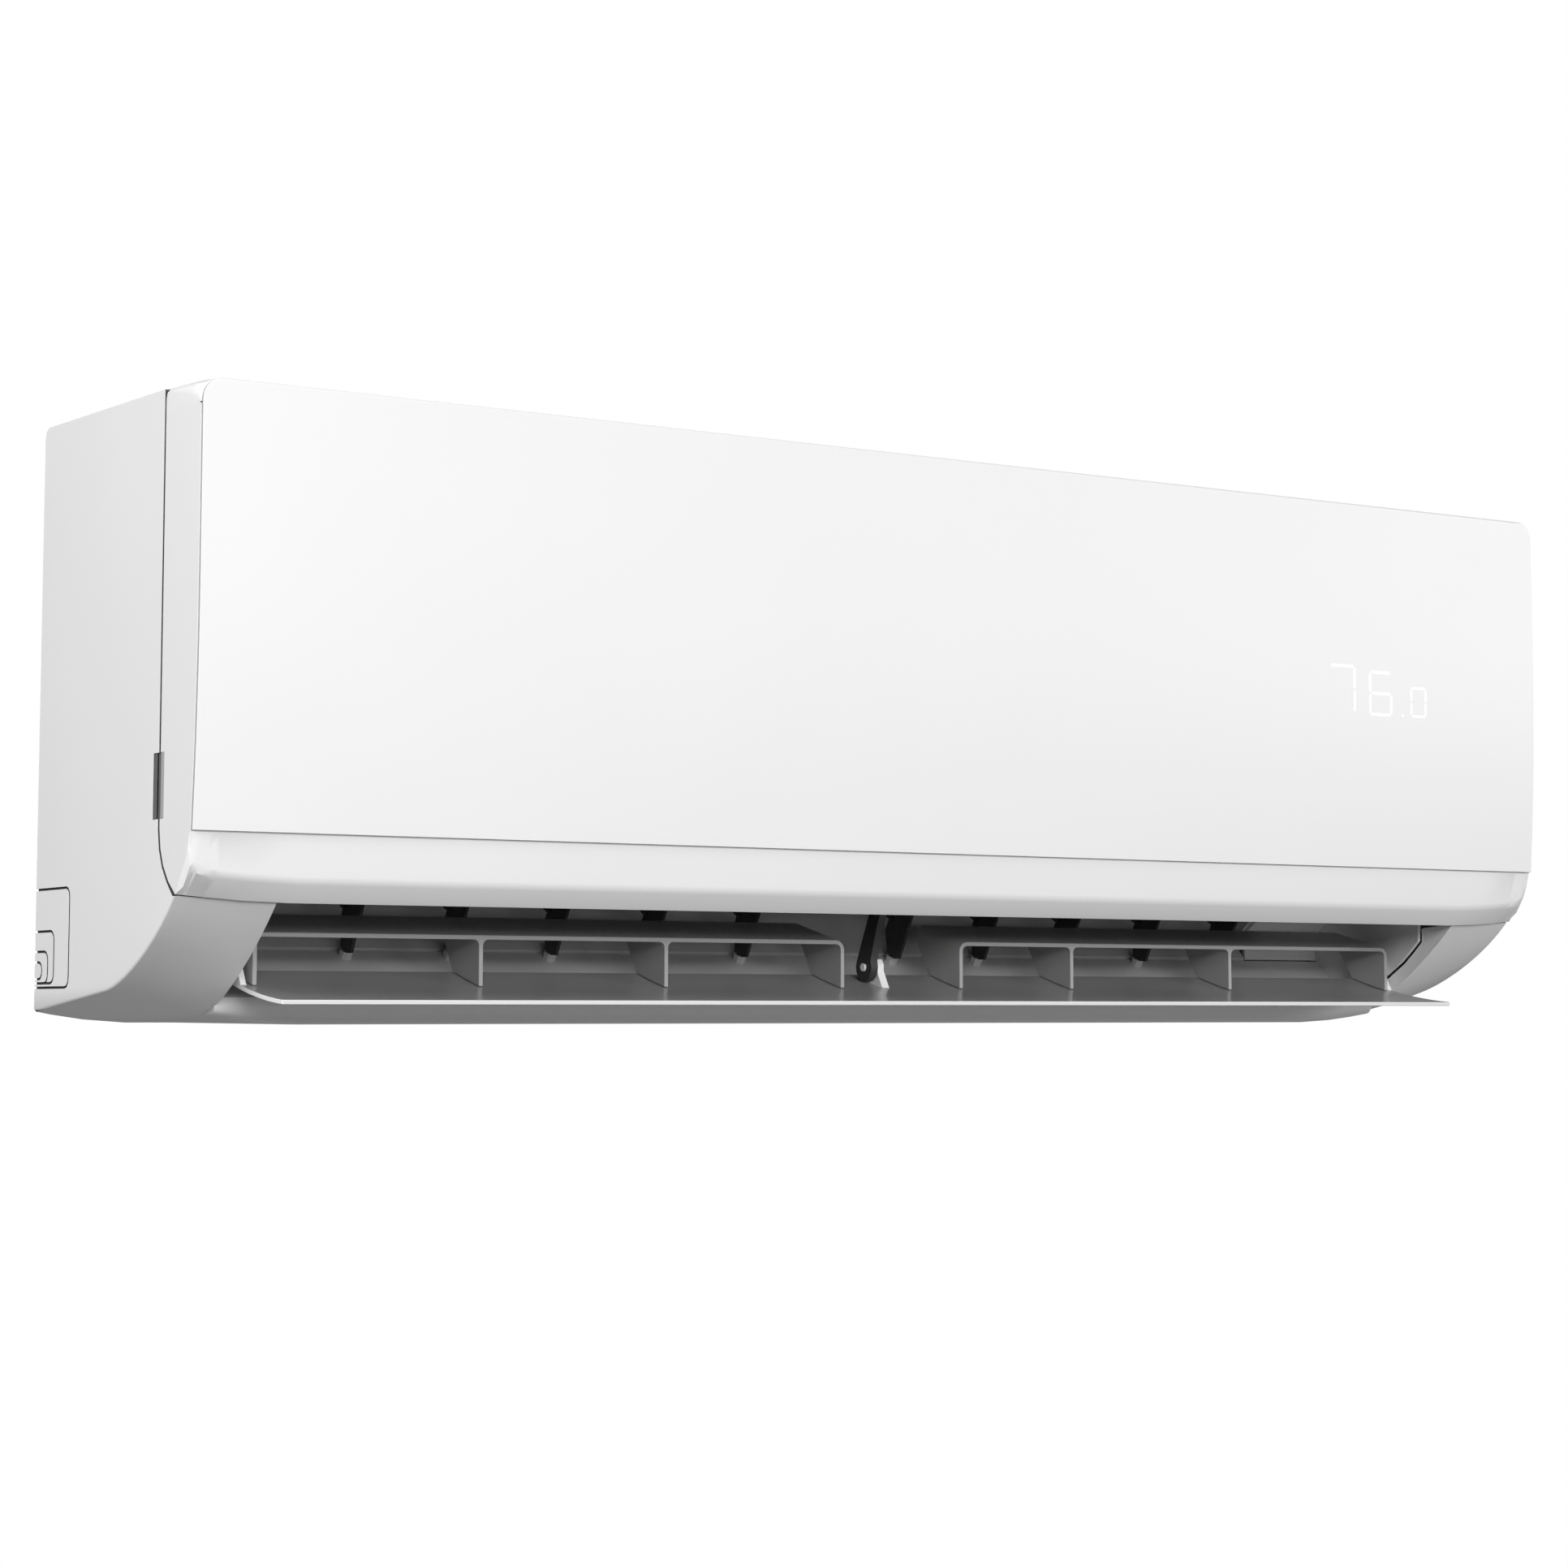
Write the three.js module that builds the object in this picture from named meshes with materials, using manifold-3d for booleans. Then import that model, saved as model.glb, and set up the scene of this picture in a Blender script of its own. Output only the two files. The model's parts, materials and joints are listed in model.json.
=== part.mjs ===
// Indoor unit of a mini split air conditioner: a long white casing that hangs on a steel plate on the
// wall.
// Millimetres, +Z up, +X to the right of someone who faces the unit. The wall is the plane y = 0.
// Sections are drawn as (depth, height): depth is measured out of the wall, height from the end walls'
// foot.
// The origin is on the rear face of the mounting plate, at half the height of the end walls.
import * as THREE from "three";
import { mergeVertices } from "three/addons/utils/BufferGeometryUtils.js";
import Module from "manifold-3d";

const wasm = await Module();
wasm.setup();

// ---------- driving dimensions ----------
const unitWidth = 805;
const endWallHeight = 281.7; // end wall at the rear edge
const topFall = 4.9; // the top falls by this from the rear to the panel seam
const shellWall = 2.4; // moulded wall of casing and panel
const halfWidth = unitWidth / 2;
const insideHalf = halfWidth - shellWall; // inner faces of the end walls
const seat = 0.3; // gap between pieces that touch
const wallGap = 0.5; // casing's rear edge off the wall

const seamDepth = 154; // upright seam between casing and front panel
const seamFoot = 80; // height where the seam bends forward
const chinRearDepth = 173; // where the seam meets the chin at the end walls
const chinRearHeight = 50.7;
const seamGap = 0.5;

const faceDepth = 196; // front of the face panel
const faceSheet = 1.6; // thickness of the face panel
const faceTop = endWallHeight - 5.5;
const faceBottom = 78;
const faceCorner = 10; // radius of the face panel's top corners
const faceRecede = 4.6; // the face panel's foot lies this much behind its middle
const faceRecedeFrom = 190; // height where it starts to recede
const stripSetBack = 2.2; // strip below the face panel lies behind it
const chinFrontHeight = 55.2; // lower edge of the strip
const chinMiddleHeight = 47.6; // rear edge of the chin over the outlet
const chinMiddleDepth = 178;

const cheekWidth = 47; // of the casing beside the air outlet
const outletHalf = halfWidth - cheekWidth;
const lipDepth = 109; // front of the casing's lip under the outlet
const lipTop = 6.5;
const lipShoulder = 3; // height where the lip's round nose turns upright

const pivotDepth = 120.5; // louvre axis
const pivotHeight = 22.5;
const louvreGap = 3; // beside each end of the louvre
const louvreHalf = outletHalf - louvreGap;
const louvreRear = [104, 18.9]; // rear edge of the open blade's inner face
const louvreFront = [176.6, 5.1]; // front edge of the open blade's inner face
const louvreSag = 2.2; // hollow of the blade's inner face
const bladeSheet = 2.2;
const louvrePin = 2.2; // radius
const pinGap = 0.3; // round a turning pin

const innerBladeFront = [132, 35.9]; // upper front edge of the inner blade
const innerBladeReach = 39;
const innerBladeSlope = Math.tan(THREE.MathUtils.degToRad(13.8));
const innerBladeInset = 5; // from the louvre's ends
const innerBladeLeft = [-louvreHalf + innerBladeInset, -24];
const innerBladeRight = [48, louvreHalf - innerBladeInset];
const ribsLeft = [-231, -129];
const ribsRight = [121.5, 231];

const fanDepth = 84;
const fanHeight = 116;
const fanRadius = 46;
const motorBay = 112.5; // width at the right that the fan leaves to the motor
const fanLeft = -louvreHalf + 9.5;
const fanRight = halfWidth - motorBay;
const fanBlades = 20;
const fanSections = 2;
const fanDisc = 2.4;
const shaftRadius = 4;

const coilLeft = fanLeft - 3;
const coilRight = fanRight + 2;
const coilThickness = 25;
const tubePitch = 21;
const tubeRadius = 3.5;

const vaneCount = 5; // on each side
const vanePitch = 56;
const vaneFoot = [70.5, 30]; // a vane's pin, at the vane's lower edge
const vaneTall = 34;
const vaneHalfChord = 9;
const vaneTilt = Math.atan2(0.474, 0.88); // pin axis leans forward by this
const vanePinRadius = 1.5;
const linkReach = 13; // from the vane's axis to its link pin
const linkHeight = 19; // of the link ears up the vane

const plateHalf = 235;
const plateSheet = 1.2;
const plateBottom = 60;
const plateTop = endWallHeight - 19.7;

const motorRadius = 41;
const motorLeft = fanRight + 14;
const motorLong = 64;
const motorRight = motorLeft + motorLong;

const hingeDepth = seamDepth + 3.7; // front panel's hinge axis
const hingeHeight = endWallHeight - topFall - 3.7;
const hingeBead = 3.4; // radius of the rolled rear edge of the panel's top
const hingePin = 1.6;
const hingeInset = 102.5; // of the outer hinges from the end walls
const hingeAt = [hingeInset - halfWidth, 0, halfWidth - hingeInset];
const hingeWidth = 6;

const bulkheadLeft = [fanLeft - 9, fanLeft - 6.6]; // walls beside the fan
const bulkheadRight = [fanRight + 6.5, fanRight + 9];

// Control box, in front of the fan motor.
const boxLeft = motorLeft + 10;
const boxRight = insideHalf - 3.1;
const boxFront = faceDepth - 33;
const boxRear = boxFront - 32;
const boxLow = 98;
const boxHigh = endWallHeight - 35.7;
const boardRear = boxRear + 8;
const boardSheet = 1.6;
const boxScrews = [[boxLeft + 7, boxHigh - 7], [boxRight - 7, boxLow + 7]];

// ---------- colours ----------
const finish = (color, roughness, metalness = 0) =>
  new THREE.MeshStandardMaterial({ color, roughness, metalness });
const white = finish(0xf1f1f0, 0.42);
const gloss = finish(0xf6f6f6, 0.12);
const innerWhite = finish(0xcfd0d1, 0.5);
const blackPlastic = finish(0x161617, 0.5);
const darkGrey = finish(0x3a3b3d, 0.55);
const zinc = finish(0xb4b8bb, 0.4, 0.9);
const steel = finish(0xa7a9ab, 0.3, 1);
const finned = finish(0xa9b3bb, 0.35, 0.9);
const copper = finish(0xb8704a, 0.3, 1);
const brass = finish(0xb8994f, 0.3, 1);
const rubber = finish(0x1b1b1b, 0.85);
const board = finish(0x24603a, 0.5);
const filterNet = finish(0x5d646b, 0.7);

// ---------- helpers ----------
const group = new THREE.Group();
group.position.z = -endWallHeight / 2;

function place(name, geometry, material, parent = group) {
  const mesh = new THREE.Mesh(geometry, material);
  mesh.name = name;
  parent.add(mesh);
  return mesh;
}

function solidOf(geometry) {
  const bare = geometry.clone();
  bare.deleteAttribute("normal");
  bare.deleteAttribute("uv");
  const welded = mergeVertices(bare, 1e-4);
  const vertProperties = Float32Array.from(welded.attributes.position.array);
  const triVerts = Uint32Array.from(welded.index.array);
  return new wasm.Manifold(new wasm.Mesh({ numProp: 3, vertProperties, triVerts }));
}

function geometryOf(solid) {
  const mesh = solid.getMesh();
  const geometry = new THREE.BufferGeometry();
  geometry.setAttribute("position", new THREE.BufferAttribute(mesh.vertProperties, 3));
  geometry.setIndex(new THREE.BufferAttribute(mesh.triVerts, 1));
  geometry.computeVertexNormals();
  return geometry;
}

const join = (...geometries) => geometryOf(geometries.map(solidOf).reduce((a, b) => a.add(b)));
const cut = (body, ...tools) => geometryOf(tools.map(solidOf).reduce((a, b) =>
  a.subtract(b), solidOf(body)));
const keep = (body, tool) => geometryOf(solidOf(body).intersect(solidOf(tool)));

// A box between two sides, two depths and two heights.
function block(left, right, rear, front, low, high) {
  const geometry = new THREE.BoxGeometry(right - left, front - rear, high - low);
  return geometry.translate((left + right) / 2, -(front + rear) / 2, (low + high) / 2);
}

// The same between two sides given in any order.
const between = (a, b, ...rest) => block(Math.min(a, b), Math.max(a, b), ...rest);

const outline = (points) => new THREE.Shape(points.map(([u, v]) => new THREE.Vector2(u, v)));

// Turns an extrusion of a (depth, height) section so that it runs from the right side to the left.
const sectionToRoom = new THREE.Matrix4().makeBasis(
  new THREE.Vector3(0, -1, 0),
  new THREE.Vector3(0, 0, 1),
  new THREE.Vector3(-1, 0, 0),
);

// A (depth, height) section drawn out along the width, between two sides.
function along(section, left, right, curveSegments = 6) {
  const shape = section instanceof THREE.Shape ? section : outline(section);
  const geometry = new THREE.ExtrudeGeometry(shape, {
    depth: right - left,
    bevelEnabled: false,
    curveSegments,
  });
  return geometry.applyMatrix4(sectionToRoom).translate(right, 0, 0);
}

const along2 = (section, a, b) => along(section, Math.min(a, b), Math.max(a, b));

// A rod along the width.
function rod(left, right, depth, height, radius, sides = 16) {
  const geometry = new THREE.CylinderGeometry(radius, radius, right - left, sides);
  return geometry.rotateZ(Math.PI / 2).translate((left + right) / 2, -depth, height);
}

// A rod that points out of the wall.
function peg(x, height, rear, front, radius, sides = 16) {
  const geometry = new THREE.CylinderGeometry(radius, radius, front - rear, sides);
  return geometry.translate(x, -(front + rear) / 2, height);
}

// A ring along the width.
function ring(left, right, depth, height, outer, inner, sides = 24) {
  return cut(rod(left, right, depth, height, outer, sides),
    rod(left - 1, right + 1, depth, height, inner, sides));
}

// A skin whose section changes along the width: sectionAt(x) gives the same number of points at every
// station.
function loft(sectionAt, stations) {
  const first = sectionAt(stations[0]);
  const nearest = (u, v) => {
    const gaps = first.map(([a, b]) => Math.hypot(a - u, b - v));
    return gaps.indexOf(Math.min(...gaps));
  };
  const last = stations.length - 1;
  const geometry = new THREE.ExtrudeGeometry(outline(first),
    { depth: last, steps: last, bevelEnabled: false });
  const sections = stations.map(sectionAt);
  const at = geometry.attributes.position;
  for (let i = 0; i < at.count; i += 1) {
    const point = nearest(at.getX(i), at.getY(i));
    const step = last - Math.round(at.getZ(i));
    const [depth, height] = sections[step][point];
    at.setXYZ(i, stations[step], -depth, height);
  }
  return geometry;
}

function bezier(points, count) {
  const [a, b, c, d] = points.map(([u, v]) => new THREE.Vector2(u, v));
  const curve = d ? new THREE.CubicBezierCurve(a, b, c, d) : new THREE.QuadraticBezierCurve(a, b, c);
  return curve.getPoints(count).map((p) => [p.x, p.y]);
}

// A round section as a polygon.
function disc(radius, sides) {
  return outline(arc([0, 0], radius, 0, 360 - 360 / sides, sides - 1));
}

function arc(centre, radius, from, to, count) {
  const points = [];
  for (let i = 0; i <= count; i += 1) {
    const angle = THREE.MathUtils.degToRad(from + ((to - from) * i) / count);
    points.push([centre[0] + radius * Math.cos(angle), centre[1] + radius * Math.sin(angle)]);
  }
  return points;
}

// Places along the unit: a list of x values made the same on both sides.
const mirrored = (places) => [...places.map((x) => -x), ...[...places].reverse()];

const mix = (a, b, t) => a + (b - a) * t;
const mixPoint = (a, b, t) => [mix(a[0], b[0], t), mix(a[1], b[1], t)];

// ---------- casing ----------
// The underside runs nearly level from the wall to a knee and then curves up to the chin.
// It hangs lower in the middle than at the end walls.
const kneeDepth = 94;
const undersideEnd = [[0, 0], [kneeDepth, 9.4], [114, 12.5], [150, 28],
  [chinRearDepth - 0.8, chinRearHeight - 0.4]];
const undersideMiddle = [[0, -5.5], [kneeDepth, -6.2], [108, -6.2], [145, 16.5],
  [chinMiddleDepth - 0.6, chinMiddleHeight - 0.9]];
const rearTurnFrom = halfWidth - 48.5; // where the rear of the belly starts to rise
const frontTurnFrom = halfWidth - 92.5; // where the front of the belly starts to rise

function rise(x, from, power) {
  return Math.max(0, (Math.abs(x) - from) / (halfWidth - from)) ** power;
}

function undersideAt(x, inset, count) {
  const rear = rise(x, rearTurnFrom, 1.8);
  const front = rise(x, frontTurnFrom, 1.7);
  const lift = [[0, inset], [0, inset], [-0.2 * inset, inset], [-0.6 * inset, inset],
    [-0.6 * inset, inset * 0.7]];
  const [foot, ...control] = undersideMiddle.map((middle, i) => {
    const [depth, height] = mixPoint(middle, undersideEnd[i], i === 0 ? rear : front);
    return [depth + lift[i][0], height + lift[i][1]];
  });
  return [foot, ...bezier(control, count)];
}

const seamCurve = [[seamDepth, seamFoot], [seamDepth + 0.5, 62], [chinRearDepth, chinRearHeight]];
const topAtSeam = endWallHeight - topFall;
const rearCornerRadius = 5;

function casingSection(x) {
  const lower = undersideAt(x, 0, 10);
  lower[0] = [wallGap, lower[0][1]];
  const seam = bezier(seamCurve, 4).reverse().slice(1);
  const corner = arc([wallGap + rearCornerRadius, endWallHeight - rearCornerRadius], rearCornerRadius,
    92, 180, 2);
  return [...lower, ...seam, [seamDepth, topAtSeam], ...corner];
}

const turnStations = [halfWidth - 8.5, halfWidth - 24.5, outletHalf + 1, halfWidth - 70.5, frontTurnFrom];
const casingStations = mirrored([halfWidth, ...turnStations]);

function casingCavity(x) {
  const lower = undersideAt(x, shellWall, 10);
  lower[0] = [-5, lower[0][1]];
  const top = endWallHeight - shellWall;
  return [...lower, [faceDepth, lower.at(-1)[1]], [faceDepth, topAtSeam - shellWall], [-5, top]];
}

const cavityStations = mirrored([insideHalf, ...turnStations]);

// Filter path: over the coil under the top grille, round the shoulder and down behind the front panel.
const filterTop = endWallHeight - 15.7;
const filterFront = faceDepth - 20;
const filterBend = 34;
const filterFoot = 99;
const filterRear = 36;
const filterSheet = 1;

function filterBand(outer, inner, foot, rear) {
  const centre = [filterFront - filterBend, filterTop - filterBend];
  const out = arc(centre, filterBend - outer, 0, 90, 4);
  const back = arc(centre, filterBend - inner, 90, 0, 4);
  return [
    [filterFront - outer, foot],
    ...out,
    [rear, filterTop - outer],
    [rear, filterTop - inner],
    ...back,
    [filterFront - inner, foot],
  ];
}

const guideInner = 9; // the guide ribs reach this far inside the filter's outer face
const guideOuter = filterSheet + 2 + seat;
const guideWidth = 4;
const filterGap = 0.6;
const filterRightEnd = boxLeft - 14;
const guidesAt = [6.1 - insideHalf, 0, filterRightEnd + guideWidth]; // middle of each guide rib
const beamLow = 88;
const beamHigh = 97.7;

const shelfSheet = 3;
const gripLow = 84.5;
const gripHigh = 114;
const gripRear = 151.3;
const gripFront = 158.7;
const gripPast = 7.5; // the grips' cutters run this far past the end walls

const intake = { half: halfWidth - 17.5, rear: 26, front: 146, rows: 8, columns: 5, bar: 5, cross: 6 };

function intakeSlots() {
  const slots = [];
  const rowPitch = (intake.front - intake.rear + intake.bar) / intake.rows;
  const columnPitch = (2 * intake.half + intake.cross) / intake.columns;
  for (let row = 0; row < intake.rows; row += 1) {
    for (let column = 0; column < intake.columns; column += 1) {
      const left = -intake.half + column * columnPitch;
      const rear = intake.rear + row * rowPitch;
      slots.push(block(left, left + columnPitch - intake.cross, rear, rear + rowPitch - intake.bar,
        topAtSeam - 8.8, endWallHeight + 8));
    }
  }
  return slots;
}

// Knock-outs for pipes: nested slits in the rear corner of an end wall, given by (depth, low, high).
const knockouts = [[46, 10.5, 58.4], [26.3, 12.6, 38.4], [18.4, 12.6, 28.8], [10.6, 14.6, 23.8]];
const slitWidth = 1.2;
const slitDeep = 1.1;
const knockoutCorner = 5;

function roundedFront(front, low, high, radius) {
  const r = Math.min(radius, (high - low) / 2 - 0.1);
  return [[-3, low], ...arc([front - r, low + r], r, -90, 0, 3),
    ...arc([front - r, high - r], r, 0, 90, 3), [-3, high]];
}

function knockoutSlits(left, right) {
  return knockouts.map(([front, low, high]) => {
    const outer = along(roundedFront(front, low, high, knockoutCorner), left, right);
    const inner = roundedFront(front - slitWidth, low + slitWidth, high - slitWidth,
      knockoutCorner - slitWidth);
    return cut(outer, along(inner, left - 1, right + 1));
  });
}

function hingeEars() {
  return hingeAt.map((x) => {
    const left = x - hingeWidth / 2;
    const right = x + hingeWidth / 2;
    const root = block(left, right, seamDepth - 8, seamDepth - seat, hingeHeight - hingeBead,
      topAtSeam - 1);
    const neck = block(left, right, seamDepth - 1, hingeDepth, hingeHeight - hingeBead + 1, hingeHeight);
    const eye = rod(left, right, hingeDepth, hingeHeight, hingeBead, 20);
    const bore = rod(left - 1, right + 1, hingeDepth, hingeHeight, hingePin + pinGap, 16);
    const mouth = block(left - 1, right + 1, hingeDepth, hingeDepth + 6, hingeHeight - 1.3,
      hingeHeight + 1.3);
    return cut(join(root, neck, eye), bore, mouth);
  });
}

// The rounded lip along the foot of the outlet.
function lipNose() {
  const half = outletHalf + 0.5;
  const heightAt = (x) => mix(undersideMiddle[1][1], undersideEnd[1][1], rise(x, frontTurnFrom, 1.7));
  const section = (x) => {
    const low = heightAt(x);
    const radius = lipShoulder - low;
    const nose = arc([lipDepth - radius, lipShoulder], radius, -90, 0, 4);
    const back = arc([lipDepth - radius, lipShoulder], radius - shellWall, 0, -90, 4);
    return [[kneeDepth - 1, low], ...nose, [lipDepth, lipTop], [lipDepth - shellWall, lipTop], ...back,
      [kneeDepth - 1, low + shellWall]];
  };
  return loft(section, mirrored([half, half - 11, half - 26, frontTurnFrom]));
}

// Walls that turn inward from the cheeks' edges at both ends of the outlet.
function cheekWalls() {
  const edge = undersideAt(outletHalf, 1, 8).slice(3);
  const inner = [[152, chinMiddleHeight - 1], [152, 39], [146, 33.5], [138, 27], [124.5, 18.7], [112, 12]];
  return [-1, 1].map((side) => along2([...edge, ...inner], side * outletHalf, side * (outletHalf + 2)));
}

function frontCasing() {
  const shell = cut(loft(casingSection, casingStations), loft(casingCavity, cavityStations));
  const outlet = block(-outletHalf, outletHalf, kneeDepth + 1, 220, -20, 62);
  const grips = [-1, 1].map((side) =>
    between(side * (insideHalf - 1), side * (halfWidth + gripPast), gripRear, 170, gripLow, gripHigh));
  const notches = [-1, 1].map((side) => between(side * 137.3, side * 159.6, -1, 14, -12, -4.6));
  const opened = cut(
    shell,
    outlet,
    ...grips,
    ...notches,
    ...intakeSlots(),
    ...knockoutSlits(-halfWidth - 1, -halfWidth + slitDeep),
    ...knockoutSlits(halfWidth - slitDeep, halfWidth + 1),
  );
  const guides = guidesAt.map((x) => {
    const band = filterBand(guideOuter, guideInner, beamLow, filterRear + 2);
    const low = filterTop - guideInner;
    const hanger = block(x - guideWidth / 2, x + guideWidth / 2, filterRear + 2, filterRear + 8, low,
      topAtSeam + 3.6);
    return join(along(band, x - guideWidth / 2, x + guideWidth / 2), hanger);
  });
  const beamHalf = insideHalf - 1;
  const beam = block(-beamHalf, beamHalf, filterFront - guideInner, filterFront - guideOuter, beamLow,
    beamHigh);
  const shelves = [[-1, 34.1 - insideHalf], [1, boxLeft + 4]].map(([side, inner]) => {
    const root = between(inner, side * (insideHalf + 1), 140, seamDepth - seamGap,
      beamHigh - shelfSheet, beamHigh);
    const arm = between(inner, side * beamHalf, 150, filterFront - guideOuter, beamHigh - shelfSheet,
      beamHigh);
    return join(root, arm);
  });
  return join(opened, lipNose(), beam, ...guides, ...hingeEars(), ...shelves, ...cheekWalls());
}

place("front_casing", frontCasing(), white);

// ---------- front panel and face panel ----------
// Depth of the face panel's front at a height: flat above, receding along a parabola to its foot.
function faceAt(height) {
  const drop = Math.max(0, (faceRecedeFrom - height) / (faceRecedeFrom - faceBottom));
  return faceDepth - faceRecede * drop * drop;
}

function faceCurve(setBack, low, high, count) {
  const points = [];
  for (let i = 0; i <= count; i += 1) {
    const height = low + ((high - low) * i) / count;
    points.push([faceAt(height) - setBack, height]);
  }
  return points;
}

const panelSetBack = faceSheet + seat;
const chinTurnFrom = halfWidth - 52;

function panelSection(x) {
  const end = rise(x, chinTurnFrom, 1.6);
  const chinRear = mixPoint([chinMiddleDepth, chinMiddleHeight],
    [chinRearDepth + seamGap, chinRearHeight], end);
  const chinFront = mixPoint([faceDepth - 10, chinFrontHeight], [faceDepth - 10.4, 59], end);
  const stripLow = mixPoint([faceDepth - 8.4, 59], [faceDepth - 8.6, 63], end);
  const seam = bezier(seamCurve, 4).reverse().slice(1).map(([u, v]) => [u + seamGap, v]);
  return [
    chinRear,
    chinFront,
    stripLow,
    [faceAt(faceBottom) - stripSetBack, faceBottom - 1],
    ...faceCurve(panelSetBack, faceBottom - 0.4, faceRecedeFrom, 4),
    [faceDepth - panelSetBack, faceTop - 2.5],
    [faceDepth - panelSetBack - 2.5, faceTop],
    [faceDepth - 14, topAtSeam],
    ...arc([hingeDepth, hingeHeight], hingeBead, 90, 180, 4),
    ...seam.reverse(),
  ];
}

const panelTurns = [halfWidth - 14.5, halfWidth - 30.5, chinTurnFrom];
const panelStations = mirrored([halfWidth, halfWidth - 4.5, ...panelTurns]);
const panelWall = 2.2;

// The hollow of the front panel, open to the rear.
function panelHollow(x) {
  const end = rise(x, chinTurnFrom, 1.6);
  const chinRear = mixPoint([chinMiddleDepth, chinMiddleHeight], [chinRearDepth, chinRearHeight], end);
  const chinFront = mixPoint([faceDepth - 10, chinFrontHeight], [faceDepth - 10.4, 59], end);
  return [
    [chinRear[0] - 12, chinRear[1] - 12 * 0.66 + panelWall * 1.2],
    [chinFront[0] - 1.4, chinFront[1] + panelWall * 0.9],
    [faceAt(faceBottom) - stripSetBack - panelWall, faceBottom - 8],
    ...faceCurve(panelSetBack + panelWall, faceBottom, faceRecedeFrom, 4),
    [faceDepth - panelSetBack - panelWall, faceTop - 3.5],
    [faceDepth - panelSetBack - panelWall - 1.5, topAtSeam - panelWall - 0.4],
    [hingeDepth + 3, topAtSeam - panelWall - 0.4],
    [hingeDepth + 3, hingeHeight - hingeBead - 0.2],
    [120, hingeHeight - hingeBead - 0.2],
    [120, chinRear[1] - 12 * 0.66 + panelWall * 1.2],
  ];
}

const hollowStations = mirrored([halfWidth - panelWall, ...panelTurns]);

// Rounds the panel's two upper corners: everything outside this prism goes.
function cornerPrism(radius, half, low, high) {
  const shape = new THREE.Shape();
  shape.moveTo(-half, low);
  shape.lineTo(half, low);
  shape.lineTo(half, high - radius);
  shape.absarc(half - radius, high - radius, radius, 0, Math.PI / 2);
  shape.lineTo(-half + radius, high);
  shape.absarc(-half + radius, high - radius, radius, Math.PI / 2, Math.PI);
  const prism = new THREE.ExtrudeGeometry(shape, { depth: 120, bevelEnabled: false, curveSegments: 5 });
  return prism.rotateX(Math.PI / 2).translate(0, -120, 0);
}

function frontPanel() {
  const outer = loft(panelSection, panelStations);
  const hollow = loft(panelHollow, hollowStations);
  const slots = hingeAt.map((x) =>
    rod(x - hingeWidth / 2 - 0.6, x + hingeWidth / 2 + 0.6, hingeDepth, hingeHeight, hingeBead + 1.4, 20));
  const grips = [-1, 1].map((side) =>
    between(side * (halfWidth - 3.5), side * (halfWidth + gripPast), 140, gripFront, gripLow, gripHigh));
  const body = cut(outer, hollow, ...slots, ...grips);
  const pins = hingeAt.map((x) => rod(x - hingeWidth / 2 - 1.6, x + hingeWidth / 2 + 1.6, hingeDepth,
    hingeHeight, hingePin, 12));
  const stiffeners = [-200, -67, 67, 200].map((x) =>
    block(x - 1, x + 1, faceDepth - panelSetBack - panelWall - 5, faceDepth - panelSetBack - 1,
      faceRecedeFrom, faceTop - 14.2));
  return join(keep(body, cornerPrism(faceCorner, halfWidth, 0, topAtSeam)), ...pins, ...stiffeners);
}

place("front_panel", frontPanel(), white);

function facePanel() {
  const front = faceCurve(0, faceBottom, faceRecedeFrom, 5);
  const back = faceCurve(faceSheet, faceBottom, faceRecedeFrom, 5).reverse();
  const section = [...front, [faceDepth, faceTop - 0.8], [faceDepth - 0.8, faceTop],
    [faceDepth - faceSheet, faceTop], ...back];
  return keep(along(section, -halfWidth, halfWidth), cornerPrism(faceCorner, halfWidth - 0.2, 0, faceTop));
}

place("face_panel", facePanel(), gloss);

const displayMiddle = halfWidth - 118.5;
const displayHeight = 174;

function displayBoard() {
  const back = faceAt(displayHeight - 22) - panelSetBack - panelWall - seat;
  const sheet = block(displayMiddle - 52, displayMiddle + 52, back - 1.6, back, displayHeight - 22,
    displayHeight + 22);
  const sensor = block(displayMiddle + 38, displayMiddle + 48, back - 8, back - 1.6, displayHeight - 12,
    displayHeight + 2);
  const plug = block(displayMiddle - 46, displayMiddle - 30, back - 7, back - 1.6, displayHeight - 6,
    displayHeight + 8);
  return join(sheet, sensor, plug);
}

place("display_board", displayBoard(), board);

// ---------- outlet frame: duct floor, ceiling, ends and drain pan in one moulding ----------
const frameInner = louvreHalf + 0.6; // inner faces of the duct's end walls
const frameHalf = frameInner + 2;
const floorTop = [[lipDepth - shellWall - seat, 7.6], [86, 14], [75, 20.8], [66, 29]];
const floorSheet = 1.8;
const ceilingLip = [175, 50.4];
const tongue = [124.5, 85];
const panRear = 131;
const panFront = 166.6;
const panFloor = 78;
const panTop = 92;

const vaneAxis = [Math.sin(vaneTilt), Math.cos(vaneTilt)]; // (depth, height) direction of a vane's pin
const vaneFlow = [Math.cos(vaneTilt), -Math.sin(vaneTilt)]; // direction of the air past a vane
const vanePlaces = (side) => Array.from({ length: vaneCount }, (unused, i) => side * (48 + vanePitch * i));

// A short rod along a vane's pin, between two heights up the pin.
function upright(radius, low, high, sides) {
  return new THREE.CylinderGeometry(radius, radius, high - low, sides).rotateX(Math.PI / 2).translate(0,
    0, (low + high) / 2);
}

// Moves and tilts a piece that is modelled about a vane's pin: z up the pin, y against the air.
function atVane(geometry, x) {
  return geometry.rotateX(vaneTilt).translate(x, -vaneFoot[0], vaneFoot[1]);
}

const socketOuter = 3.4;
const socketTall = 3.2;
const drainDepth = 148;
const drainHeight = panFloor + 4.2;
const drainBore = 4;

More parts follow.
